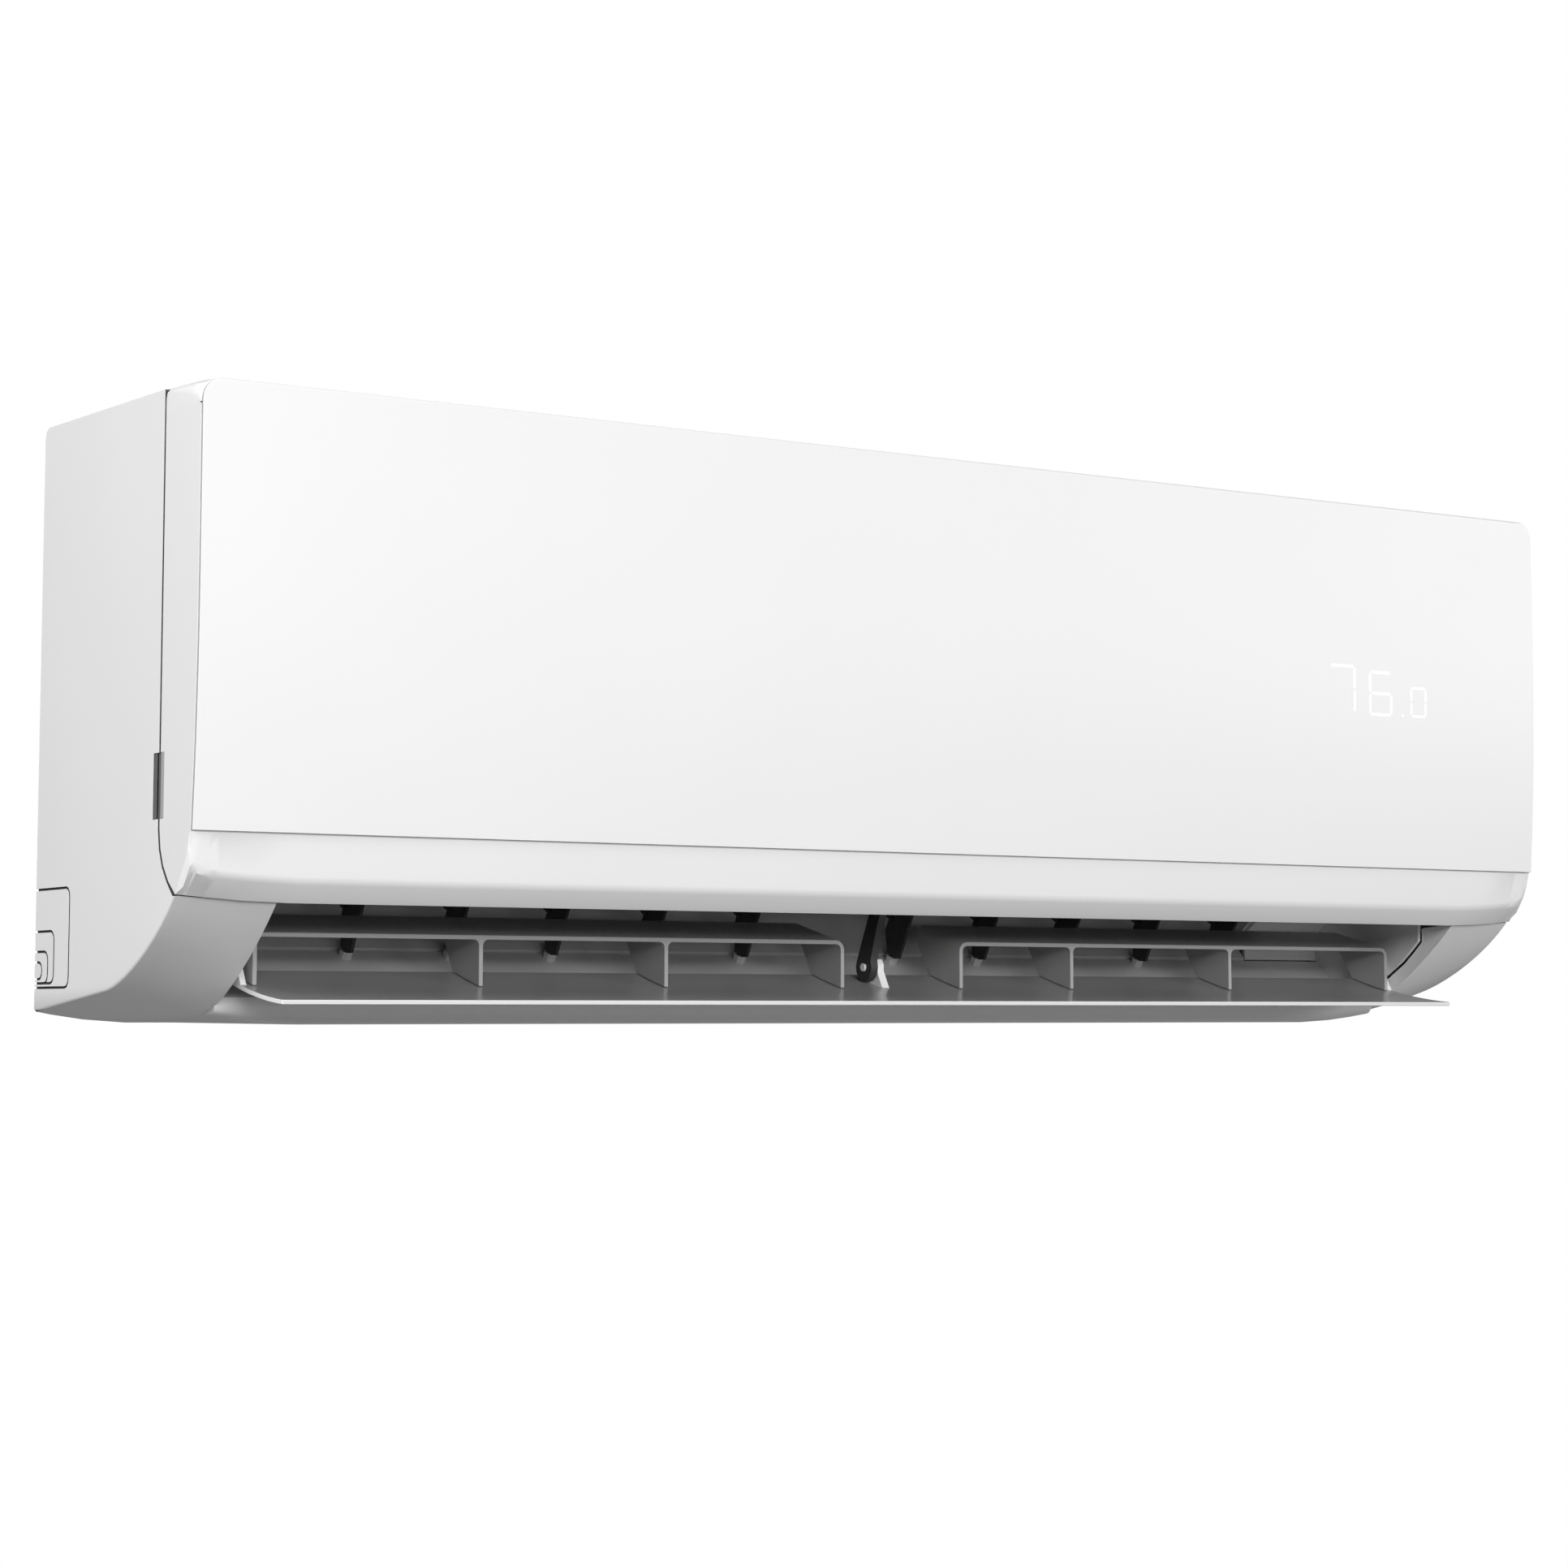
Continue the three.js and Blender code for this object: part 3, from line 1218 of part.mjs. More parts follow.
function mainBoard() {
  const sheet = block(boxLeft + 4, boxRight - 4, boardRear, boardFront, boxLow + 16, boxHigh - 16);
  const capacitor = peg(boxLeft + 28, 216, boardFront - 0.5, boardFront + 16, 9, 16);
  const transformer = block(boxRight - 42, boxRight - 14, boardFront - 0.5, boardFront + 17, 196, 222);
  const relay = block(boxLeft + 20, boxLeft + 40, boardFront - 0.5, boardFront + 14, 166, 182);
  const chip = block(boxLeft + 50, boxLeft + 64, boardFront - 0.5, boardFront + 2.5, 150, 164);
  const tactile = block(buttonX - 3, buttonX + 3, boardFront - 0.5, boardFront + 4, buttonZ - 3,
    buttonZ + 3);
  return join(sheet, capacitor, transformer, relay, chip, tactile);
}

place("main_circuit_board", mainBoard(), board);
function manualButton() {
  const cap = peg(buttonX, buttonZ, boxFront - 2, boxFront + seat + 1 + 2.6, buttonRadius, 20);
  const collar = peg(buttonX, buttonZ, boxFront - 2, boxFront - 0.2, buttonRadius + 1.6, 20);
  const stem = peg(buttonX, buttonZ, buttonRear, boxFront - 1.5, 1.8, 12);
  return join(cap, collar, stem);
}

place("manual_button", manualButton(), white);

function terminalBlock() {
  const base = block(boxLeft + 6, boxLeft + 30, boardFront + seat, boardFront + 14, 120, 160);
  const wells = [128, 136, 144, 152].map((z) =>
    peg(boxLeft + 18, z, boardFront + 8, boardFront + 20, 2.6, 10));
  return cut(base, ...wells);
}

place("terminal_block", terminalBlock(), blackPlastic);

// ---------- drain plug ----------
place("drain_plug", join(
  rod(-frameHalf - 5, -frameHalf - seat, drainDepth, drainHeight, drainBore + 2, 12),
  rod(-frameHalf - 1, -frameHalf + 3, drainDepth, drainHeight, drainBore - seat, 12),
), rubber);

export default group;
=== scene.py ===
# %% [markdown]
# A wall-hung indoor unit of a mini split air conditioner, dressed for a studio picture.
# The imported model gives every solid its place. This script leaves those places alone and adds what a
# faceted solid can't have: rounded edges, smooth curves, moulded surfaces and the light of a studio.
# %% Load the frame
import json
import math
import bmesh
import bpy
from mathutils import Matrix, Vector


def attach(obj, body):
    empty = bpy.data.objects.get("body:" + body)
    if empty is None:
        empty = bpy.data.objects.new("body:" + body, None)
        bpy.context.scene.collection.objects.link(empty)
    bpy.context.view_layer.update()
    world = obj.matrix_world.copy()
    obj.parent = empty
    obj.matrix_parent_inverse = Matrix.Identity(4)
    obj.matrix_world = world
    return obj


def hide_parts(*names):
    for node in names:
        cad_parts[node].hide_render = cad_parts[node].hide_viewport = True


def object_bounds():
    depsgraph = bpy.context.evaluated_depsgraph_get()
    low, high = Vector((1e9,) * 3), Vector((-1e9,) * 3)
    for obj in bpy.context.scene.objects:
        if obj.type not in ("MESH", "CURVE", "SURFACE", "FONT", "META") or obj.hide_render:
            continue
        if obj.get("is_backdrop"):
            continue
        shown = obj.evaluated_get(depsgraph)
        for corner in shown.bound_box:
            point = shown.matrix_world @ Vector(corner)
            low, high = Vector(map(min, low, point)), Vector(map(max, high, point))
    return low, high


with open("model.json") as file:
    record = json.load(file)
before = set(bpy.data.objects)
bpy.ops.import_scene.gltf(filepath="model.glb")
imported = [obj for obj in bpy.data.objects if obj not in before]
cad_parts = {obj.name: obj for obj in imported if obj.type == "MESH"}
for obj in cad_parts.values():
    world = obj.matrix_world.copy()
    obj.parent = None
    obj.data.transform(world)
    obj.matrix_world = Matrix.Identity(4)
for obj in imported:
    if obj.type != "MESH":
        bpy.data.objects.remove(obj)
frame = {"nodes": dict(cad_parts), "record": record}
cad_low, cad_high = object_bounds()
nodes = frame["nodes"]
record = frame["record"]
body_of_node = {node: body for body, members in record["behaviour"]["bodies"].items() for node in members}
slot_of_node = {part["node"]: part["material_slot"] for part in record["subparts"]}
print("nodes:", len(nodes), "box:", tuple(cad_low), tuple(cad_high))

# %% [markdown]
# The camera comes first. A picture of a long flat box is most sensitive to where the camera stands:
# here it stands left of the unit, level with its underside, and looks slightly up. The lens is long,
# so that the far end of the unit looks only a little smaller than the near end.
# %% Camera
EYE = Vector((-0.95023, -1.51593, -0.14085))
TURN = math.radians(32.737)  # from straight ahead towards the right
TILT = math.radians(5.159)  # upwards
camera_data = bpy.data.cameras.new("camera")
camera_data.lens = 75.093
camera_data.sensor_width = 36
camera_data.shift_y = -0.0434
camera_data.clip_end = 50
camera = bpy.data.objects.new("camera", camera_data)
camera.location = EYE
camera.rotation_euler = (math.radians(90) + TILT, 0, -TURN)
bpy.context.scene.collection.objects.link(camera)
bpy.context.scene.camera = camera
print("camera at", tuple(round(v, 3) for v in EYE))

# %% [markdown]
# Shader maths reads best as ordinary expressions. This small class wraps the output of a node, so that
# `0.4 + 0.06 * cloud` adds the Math nodes by itself. Every other kind of node comes from one method,
# `node()`, which serves materials and the world alike.
# %% A workbench for node trees
class Value:
    def __init__(self, shop, socket):
        self.shop = shop
        self.socket = socket

    def beside(self, name):
        """Another output of the same node."""
        return Value(self.shop, self.socket.node.outputs[name])

    def _maths(self, operation, first, second):
        return self.shop.node("ShaderNodeMath", {"operation": operation}, {0: first, 1: second})

    def __add__(self, other):
        return self._maths("ADD", self, other)

    __radd__ = __add__

    def __mul__(self, other):
        return self._maths("MULTIPLY", self, other)

    __rmul__ = __mul__


class Shop:
    """Builds the node tree of one material, or of the world, from expressions."""

    def __init__(self, owner):
        owner.use_nodes = True
        self.owner = owner
        self.tree = owner.node_tree

    def node(self, kind, settings=None, inputs=None, output=0):
        made = self.tree.nodes.new(kind)
        for key, setting in (settings or {}).items():
            setattr(made, key, setting)
        for key, value in (inputs or {}).items():
            self.feed(made.inputs[key], value)
        return Value(self, made.outputs[output])

    def feed(self, socket, value):
        if isinstance(value, Value):
            self.tree.links.new(value.socket, socket)
        else:
            socket.default_value = value

    def ready_made(self, name):
        """A node that a new tree already holds."""
        return self.tree.nodes[name]

    def place(self, scale=(1, 1, 1)):
        point = self.node("ShaderNodeTexCoord", output="Object")
        return self.node("ShaderNodeMapping", None, {"Vector": point, "Scale": scale})

    def noise(self, size, detail=2.0, scale=(1, 1, 1)):
        """A soft random pattern whose blobs are about `size` metres across, from 0 to 1."""
        wanted = {"Vector": self.place(scale), "Scale": 1 / size, "Detail": detail}
        return self.node("ShaderNodeTexNoise", {"noise_dimensions": "3D"}, wanted)

    def mix(self, share, first, second):
        inputs = {"Factor": share, 6: first, 7: second}
        return self.node("ShaderNodeMix", {"data_type": "RGBA"}, inputs, output=2)

    def bump(self, height, strength, distance):
        inputs = {"Height": height, "Strength": strength, "Distance": distance}
        return self.node("ShaderNodeBump", None, inputs)

    def surface(self, **inputs):
        """Feeds the material's own Principled shader."""
        shader = self.ready_made("Principled BSDF")
        for key, value in inputs.items():
            self.feed(shader.inputs[key.replace("_", " ")], value)
        return self.owner


def new_shop(name):
    return Shop(bpy.data.materials.new(name))


def grey(level):
    return (level, level, level, 1)


# %% [markdown]
# The casing, the panel and the louvre are white plastic from a mould. The tool's fine spark texture
# makes the surface satin: tiny bumps, a roughness that changes a little from place to place, and hardly
# any colour variation. The bumps come from a fine noise, the roughness and the colour from one larger noise.
# %% Plastics
def moulded(name, level, roughness, grain=0.0004, depth=0.00001, coat=0.0):
    shop = new_shop(name)
    cloud = shop.noise(0.06, 3)
    fine = shop.noise(grain, 2)
    colour = shop.mix(cloud, grey(level * 0.985), grey(level))
    return shop.surface(
        Base_Color=colour,
        Roughness=roughness - 0.03 + 0.06 * cloud,
        Coat_Weight=coat,
        Normal=shop.bump(fine, 0.35, depth),
    )


finishes = {
    "casing_white": moulded("satin white plastic", 0.87, 0.42),
    "face_gloss": moulded("gloss white face", 0.87, 0.4, grain=0.004, depth=0.000004),
    "inner_white": moulded("grey duct plastic", 0.7, 0.42),
    "black_plastic": moulded("black nylon", 0.035, 0.45, grain=0.0006),
    "dark_grey_plastic": moulded("fan plastic", 0.05, 0.5, grain=0.0006),
    "black_rubber": moulded("rubber", 0.02, 0.75, grain=0.0008, depth=0.00003),
}
# Painted shade for the inside of seams and slits and for the rim's step.
SHADOW_GAP = moulded("shade of a seam", 0.07, 0.8)
# Painted shade for the face sheet's cut edge and the shaded gap beside it.
SHEET_EDGE_SHADE = moulded("painted shade on the face sheet's edge", 0.42, 0.5)
# Painted shade: the louvre's inner face is darkened for the light that the chin and the inner blades keep
# off it.
LOUVRE_PAINTED_SHADE = moulded("painted shade on the louvre's inner face", 0.3, 0.3, coat=0.2)
BLADE_GREY = moulded("grey inner blade", 0.38, 0.35)
# Painted shade for the grip: dark in the pocket's recess, lighter on the panel's step.
GRIP_POCKET_SHADE = moulded("painted shade in the grip's recess", 0.13, 0.6)
GRIP_STEP_SHADE = moulded("painted shade on the grip's step", 0.42, 0.5)
print("plastics:", len(finishes))

# %% [markdown]
# Metal parts are out of sight when the unit hangs closed, but they show when the panel lifts and from
# behind. Rolled and drawn metal carries fine lines, so its noise is stretched along the width.
# %% Metals
def drawn_metal(name, colour, roughness, line=0.0006):
    shop = new_shop(name)
    lines = shop.noise(line, 3, scale=(0.03, 1, 1))
    spangle = shop.noise(0.012, 2)
    dull = tuple(part * 0.82 for part in colour) + (1,)
    return shop.surface(
        Base_Color=shop.mix(spangle, dull, colour + (1,)),
        Metallic=1.0,
        Roughness=roughness - 0.08 + 0.1 * lines + 0.06 * spangle,
        Normal=shop.bump(lines, 0.2, 0.00001),
    )


finishes["zinc_steel"] = drawn_metal("zinc-plated steel", (0.6, 0.62, 0.63), 0.42)
finishes["bright_steel"] = drawn_metal("turned steel", (0.68, 0.68, 0.69), 0.28)
finishes["copper_metal"] = drawn_metal("copper tube", (0.86, 0.47, 0.31), 0.3)
finishes["brass_metal"] = drawn_metal("turned brass", (0.8, 0.62, 0.32), 0.28)
print("finishes with the metals:", len(finishes))

# %% [markdown]
# The coil's fins are thin aluminium sheets, hundreds of them side by side along the width. A wave along
# X gives their rhythm as light and dark lines and as bumps, which is all that shows between the filters.
# %% Fins
FIN_PITCH = 0.0016
NET_PITCH = 0.0022


def bands(shop, direction, pitch):
    """Soft stripes, one every `pitch` metres: a wave texture of scale s repeats about every 1 / (pi s)."""
    settings = {"wave_type": "BANDS", "bands_direction": direction, "wave_profile": "SIN"}
    wanted = {"Vector": shop.place(), "Scale": 1 / (math.pi * pitch)}
    return shop.node("ShaderNodeTexWave", settings, wanted, output="Fac")


def fin_pack(name):
    shop = new_shop(name)
    fins = bands(shop, "X", FIN_PITCH)
    colour = shop.mix(fins, (0.16, 0.18, 0.2, 1), (0.66, 0.7, 0.74, 1))
    return shop.surface(Base_Color=colour, Metallic=0.9, Roughness=0.42, Normal=shop.bump(fins, 0.8, 0.0004))


finishes["fin_aluminium"] = fin_pack("aluminium fins")
print("one fin every", FIN_PITCH * 1000, "mm")

# %% [markdown]
# The filters are a fine net moulded into a frame. The larger of two crossed waves is high on every
# thread, so it gives the net its pale threads, its dark holes and its relief. The circuit boards are green
# laminate: a stepped noise stands for the copper tracks under the lacquer.
# %% Filter net and circuit board
def net(name):
    shop = new_shop(name)
    across, along = bands(shop, "X", NET_PITCH), bands(shop, "Z", NET_PITCH)
    weave = shop.node("ShaderNodeMath", {"operation": "MAXIMUM"}, {0: across, 1: along})
    colour = shop.mix(weave, (0.03, 0.035, 0.04, 1), (0.2, 0.22, 0.24, 1))
    return shop.surface(Base_Color=colour, Roughness=0.6, Normal=shop.bump(weave, 0.6, 0.0003))


def laminate(name):
    shop = new_shop(name)
    blobs = shop.noise(0.004, 0, scale=(1, 1, 4))
    tracks = shop.node("ShaderNodeMath", {"operation": "GREATER_THAN"}, {0: blobs, 1: 0.55})
    colour = shop.mix(tracks, (0.02, 0.13, 0.06, 1), (0.05, 0.24, 0.11, 1))
    return shop.surface(Base_Color=colour, Roughness=0.4, Normal=shop.bump(tracks, 0.3, 0.00003))


finishes["filter_net"] = net("filter net")
finishes["circuit_board"] = laminate("green circuit board")
for node, thing in nodes.items():
    thing.data.materials.clear()
    thing.data.materials.append(finishes[slot_of_node[node]])
print("materials:", len(finishes))

# %% [markdown]
# A solid from the CAD model is a bag of loose triangles, and its edges are knife-sharp, which no moulded
# edge is. Drawing the solid anew would risk its exact place, so each outer solid is copied instead. The
# copy is welded, its flat areas are made whole again, gentle angles are shaded smooth, and a Bevel modifier
# rounds the sharp ones. The copy stands for the solid and rides on the same body.
# %% Finished copies of solids
SHARP = math.radians(32)  # an angle between faces from which an edge belongs to the form
WELD = 2e-6
FLAT = math.radians(0.3)


def shade(bm):
    """Shades the faces smooth, up to the edges of the form."""
    for face in bm.faces:
        face.smooth = True
    for edge in bm.edges:
        edge.smooth = len(edge.link_faces) != 2 or edge.calc_face_angle() < SHARP


def deliver(bm, name, used, body):
    """Makes a bmesh an object in the finishes `used`, riding on a body of the frame."""
    mesh = bpy.data.meshes.new(name)
    bm.to_mesh(mesh)
    bm.free()
    for finish in used:
        mesh.materials.append(finish)
    piece = bpy.data.objects.new(name, mesh)
    bpy.context.scene.collection.objects.link(piece)
    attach(piece, body)
    return piece


def finished(node, edge=0.0004, accents=(), base=None, shape=None, flat=False):
    """A finished copy of a node. Each accent is a finish and a test of a face's centre and normal."""
    bm = bmesh.new()
    bm.from_mesh(nodes[node].data)
    bmesh.ops.remove_doubles(bm, verts=bm.verts, dist=WELD)
    bmesh.ops.dissolve_limit(bm, angle_limit=FLAT, verts=bm.verts, edges=bm.edges)
    if shape:
        shape(bm)
    for face in bm.faces:
        for number, (_, chosen) in enumerate(accents):
            if chosen(face.calc_center_median(), face.normal):
                face.material_index = number + 1
    shade(bm)
    print(f"{node}: {len(bm.faces)} faces")
    slot = slot_of_node[node]
    used = [base or finishes[slot]] + [finish for finish, _ in accents]
    piece = deliver(bm, node + "_finished", used, body_of_node[node])
    rounding = piece.modifiers.new("rounded edges", "BEVEL")
    rounding.width = edge
    rounding.segments = 2
    rounding.limit_method = "ANGLE"
    rounding.angle_limit = SHARP
    rounding.harden_normals = True
    if flat:
        weighting = piece.modifiers.new("flat faces stay flat", "WEIGHTED_NORMAL")
        weighting.keep_sharp = True
    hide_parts(node)


print("edges of the form from", round(math.degrees(SHARP)), "degrees")

# %% [markdown]
# Most pieces need nothing more than that. Two faces inside the outlet are darker than the casing: the
# louvre's inner face, which carries painted shade for the light that the chin and the inner blades keep off
# it, and the inner blades, which carry a grey finish of their own. The face sheet's cut edge carries painted
# shade as a fine grey line, for the shaded gap beside it. A test of each face's centre and normal finds the
# faces in question.
# %% Face sheet, louvre and outlet
HALF = cad_high.x  # half the unit's width
FOOT = -0.14085  # height of the end walls' foot
LOUVRE_HALF = 0.349


def sheet_rim(middle, normal):
    return abs(normal.y) < 0.5


def louvre_inner(middle, normal):
    return normal.z > 0.6 and abs(middle.x) < LOUVRE_HALF


# The face sheet's rim gets painted shade.
finished("face_panel", 0.0003, [(SHEET_EDGE_SHADE, sheet_rim)])
# The louvre's inner face gets painted shade.
finished("louvre_blade", 0.0005, [(LOUVRE_PAINTED_SHADE, louvre_inner)])
finished("inner_blade_left", 0.0004, base=BLADE_GREY)
finished("inner_blade_right", 0.0004, base=BLADE_GREY)
finished("outlet_frame", 0.0003)
finished("louvre_support_arm", 0.0004)

# %% [markdown]
# On the end wall of the real casing three things catch the eye: the dark upright seam towards the panel,
# the grip at its lower end, and the slits of the knock-out for the pipes. Light hardly enters such narrow
# gaps, so their inner faces carry painted shade, a dark finish. The casing's rim also has a small step along
# the seam, which widens the shadow, and its faces carry the same painted shade. A bevel that runs inwards
# makes that step along the whole bent edge in one go. The grip's rear half is pushed into the wall with an
# extrusion.
# %% Casing
SEAM = -0.154  # y of the upright seam between casing and panel
SEAM_TOP = 0.13
STEP = 0.0012  # width and depth of the step along the seam
GRIP_LOW, GRIP_HIGH = FOOT + 0.0845, FOOT + 0.114
GRIP_REAR = -0.1465
GRIP_DEPTH = 0.0005
KNOCKOUT_FRONT = -0.048
TINY = 0.0001


def in_knockout(middle, normal):
    deep = HALF - 0.0016 < abs(middle.x) < HALF - 0.0003
    return deep and middle.y > KNOCKOUT_FRONT and middle.z < FOOT + 0.06


def towards_panel(normal):
    return normal.y < -0.3 and normal.z > -0.1


def casing_seam(middle, normal):
    return middle.y < SEAM + 0.003 and towards_panel(normal) and FOOT + 0.045 < middle.z < SEAM_TOP


def grip_hollow(middle, normal):
    sunk = HALF - 0.003 < abs(middle.x) < HALF - TINY
    return sunk and middle.y < GRIP_REAR + TINY and GRIP_LOW - TINY < middle.z < GRIP_HIGH + TINY


def cut_across(bm, place, normal):
    every = bm.verts[:] + bm.edges[:] + bm.faces[:]
    bmesh.ops.bisect_plane(bm, geom=every, plane_co=place, plane_no=normal, dist=1e-6)


def sink_grips(bm):
    """Sinks the rear half of each grip into its end wall."""
    cut_across(bm, (0, GRIP_REAR, 0), (0, 1, 0))
    cut_across(bm, (0, 0, GRIP_LOW), (0, 0, 1))
    cut_across(bm, (0, 0, GRIP_HIGH), (0, 0, 1))
    for side in (-1, 1):
        floors = []
        for face in bm.faces:
            middle = face.calc_center_median()
            on_wall = middle.x * side > HALF - TINY / 2
            if on_wall and middle.y < GRIP_REAR and GRIP_LOW < middle.z < GRIP_HIGH:
                floors.append(face)
        pushed = bmesh.ops.extrude_face_region(bm, geom=floors)["geom"]
        corners = [part for part in pushed if isinstance(part, bmesh.types.BMVert)]
        bmesh.ops.translate(bm, verts=corners, vec=(-side * GRIP_DEPTH, 0, 0))
        bmesh.ops.delete(bm, geom=floors, context="FACES_ONLY")


def on_seam(edge):
    """Whether this is the outer edge of the casing's rim, along the upright seam."""
    if len(edge.link_faces) != 2:
        return False
    a, b = (vertex.co for vertex in edge.verts)
    middle = (a + b) / 2
    if min(abs(a.x), abs(b.x)) < HALF - TINY or middle.y > SEAM + 0.0005 or middle.z <= FOOT + 0.053:
        return False
    return any(towards_panel(face.normal) for face in edge.link_faces)


def on_foot(edge):
    """Whether this is a lower edge of an end wall, outside the knock-out."""
    a, b = (vertex.co for vertex in edge.verts)
    middle = (a + b) / 2
    at_end = min(abs(a.x), abs(b.x)) > HALF - TINY
    low = max(a.z, b.z) < FOOT + 0.0515 and min(a.y, b.y) > -0.1735
    if not (at_end and low and len(edge.link_faces) == 2 and abs(a.y - b.y) > 0.002):
        return False
    in_slits = middle.y > KNOCKOUT_FRONT and middle.z > FOOT + 0.0095
    return 0.6 < edge.calc_face_angle() < 2.4 and not in_slits


def shape_casing(bm):
    """Sinks the grips, steps the rim along the seam and rounds the end walls' lower edges."""
    sink_grips(bm)
    seam = [edge for edge in bm.edges if on_seam(edge)]
    # With a profile of 0 the bevel runs inwards with a square corner, which makes the step.
    step = bmesh.ops.bevel(bm, geom=seam, offset=STEP, segments=2, affect="EDGES", profile=0.0, material=-1)
    # The step's faces get the seam's painted shade.
    for face in step["faces"]:
        face.material_index = 1
    feet = [edge for edge in bm.edges if on_foot(edge)]
    bmesh.ops.bevel(bm, geom=feet, offset=0.0011, segments=3, affect="EDGES", profile=0.5, material=-1)
    print("seam edges:", len(seam), "foot edges:", len(feet))


# The seam, the knock-out's slits and the grip's hollow carry painted shade.
casing_accents = [(SHADOW_GAP, casing_seam), (SHADOW_GAP, in_knockout), (GRIP_POCKET_SHADE, grip_hollow)]
finished("front_casing", 0.0004, casing_accents, shape=shape_casing)

# %% [markdown]
# The panel has two kinds of round corner that its solid leaves out. The strip below the face turns up at
# its ends: a few cuts across the strip give the mesh enough vertices there, and each is lifted to the arc.
# The upper corners change their radius from front to back, so the copy leaves them out, and pieces of
# their own close them in the next step.
# %% Front panel
STRIP_CORNER = 0.009  # radius of the strip's lower corners
STRIP_CUTS = (0.0003, 0.0009, 0.0018, 0.003, 0.0048, 0.009)  # distances from the end
PANEL_TOP = FOOT + 0.2768
CORNER_REACH = 0.012  # the upper corners are modelled anew over this reach


def panel_seam(middle, normal):
    return normal.y > 0.3 and middle.y > -0.181 and middle.z < SEAM_TOP


def shape_panel(bm):
    """Rounds the strip's lower corners and takes off the upper corners."""
    for side in (-1, 1):
        for inward in STRIP_CUTS + (CORNER_REACH,):
            cut_across(bm, (side * (HALF - inward), 0, 0), (1, 0, 0))
    cut_across(bm, (0, 0, PANEL_TOP - CORNER_REACH), (0, 0, 1))
    for vertex in bm.verts:
        past = abs(vertex.co.x) - (HALF - STRIP_CORNER)
        if past > 0 and vertex.co.y < -0.1815 and vertex.co.z < FOOT + 0.069:
            vertex.co.z += STRIP_CORNER - math.sqrt(max(0, STRIP_CORNER**2 - past**2))
    gone = []
    for face in bm.faces:
        middle = face.calc_center_median()
        if abs(middle.x) > HALF - CORNER_REACH + 1e-6 and middle.z > PANEL_TOP - CORNER_REACH + 1e-6:
            gone.append(face)
    bmesh.ops.delete(bm, geom=gone, context="FACES")


# The panel's faces inside the seam get painted shade.
finished("front_panel", 0.0004, [(SHADOW_GAP, panel_seam)], shape=shape_panel, flat=True)

# %% [markdown]
# The panel's upper corners are nearly sharp at the seam and become as round as the face sheet at the
# front. A bevel has one radius, so it can't do that. Instead a ring in the shape of the corner's section is
# drawn at the seam, and it is extruded from depth to depth. After each step its vertices move to the section
# of that depth, whose radius has grown a little.
# %% Upper corners of the panel
CORNER_PROFILE = (  # depth out of the wall and height of the panel's top there
    (0.1543, 0.2731), (0.1553, 0.2755), (0.1577, 0.2765), (0.168, 0.27662), (0.182, 0.2768),
    (0.1916, 0.2762), (0.1930, 0.2748), (0.1941, 0.2737),
)
WALL = 0.0022
ARC_STEPS = 8
SIDES = ((-1, "left"), (1, "right"))


def corner_section(side, depth, height):
    """The corner's wall at one depth: along the outside and back along the inside."""
    radius = 0.0008 + 0.0088 * (depth - 0.154) / 0.04
    top, foot = FOOT + height, PANEL_TOP - CORNER_REACH
    section = []
    for inset, order in ((0.0, 1), (WALL, -1)):
        bend = max(radius - inset, 0.0002)
        x, z = HALF - inset - bend, top - inset - bend
        outline = [(HALF - CORNER_REACH, top - inset)]
        for step in range(ARC_STEPS + 1):
            angle = math.pi / 2 * (1 - step / ARC_STEPS)
            outline.append((x + bend * math.cos(angle), z + bend * math.sin(angle)))
        outline.append((HALF - inset, foot))
        section += outline[::order]
    return [Vector((side * x, -depth, z)) for x, z in section]


def settle(vertices, places):
    for vertex, place in zip(vertices, places):
        vertex.co = place


for side, word in SIDES:
    bm = bmesh.new()
    first, *others = [corner_section(side, *station) for station in CORNER_PROFILE]
    ring = bmesh.ops.create_circle(bm, cap_ends=True, radius=0.01, segments=len(first))["verts"]
    settle(ring, first)
    rim = bm.edges[:]
    for section in others:
        number_at = {tuple(vertex.co): number for number, vertex in enumerate(ring)}
        pulled = bmesh.ops.extrude_edge_only(bm, edges=rim)["geom"]
        rim = [part for part in pulled if isinstance(part, bmesh.types.BMEdge) and part.is_boundary]
        new = [part for part in pulled if isinstance(part, bmesh.types.BMVert)]
        ring = sorted(new, key=lambda vertex: number_at[tuple(vertex.co)])
        settle(ring, section)
    bmesh.ops.contextual_create(bm, geom=rim)
    bmesh.ops.recalc_face_normals(bm, faces=bm.faces)
    shade(bm)
    print(f"{word} corner: {len(bm.faces)} faces")
    deliver(bm, f"panel_corner_{word}", [finishes["casing_white"]], "front_panel")

# %% [markdown]
# A finger finds the grips at the lower end of the side seams to lift the panel. Behind the opening in the
# wall stands the floor of the pocket, a sheet painted dark for the shade in the recess, and the panel's own
# half of the grip is a step whose white is darkened with painted shade. They belong to different bodies, so
# that the step leaves with the panel.
# %% Grips
def slab(name, low, high, finish, body):
    bm = bmesh.new()
    size = [b - a for a, b in zip(low, high)]
    centre = Matrix.Translation([(a + b) / 2 for a, b in zip(low, high)])
    bmesh.ops.create_cube(bm, size=1, matrix=centre @ Matrix.Diagonal((*size, 1)))
    return deliver(bm, name, [finish], body)


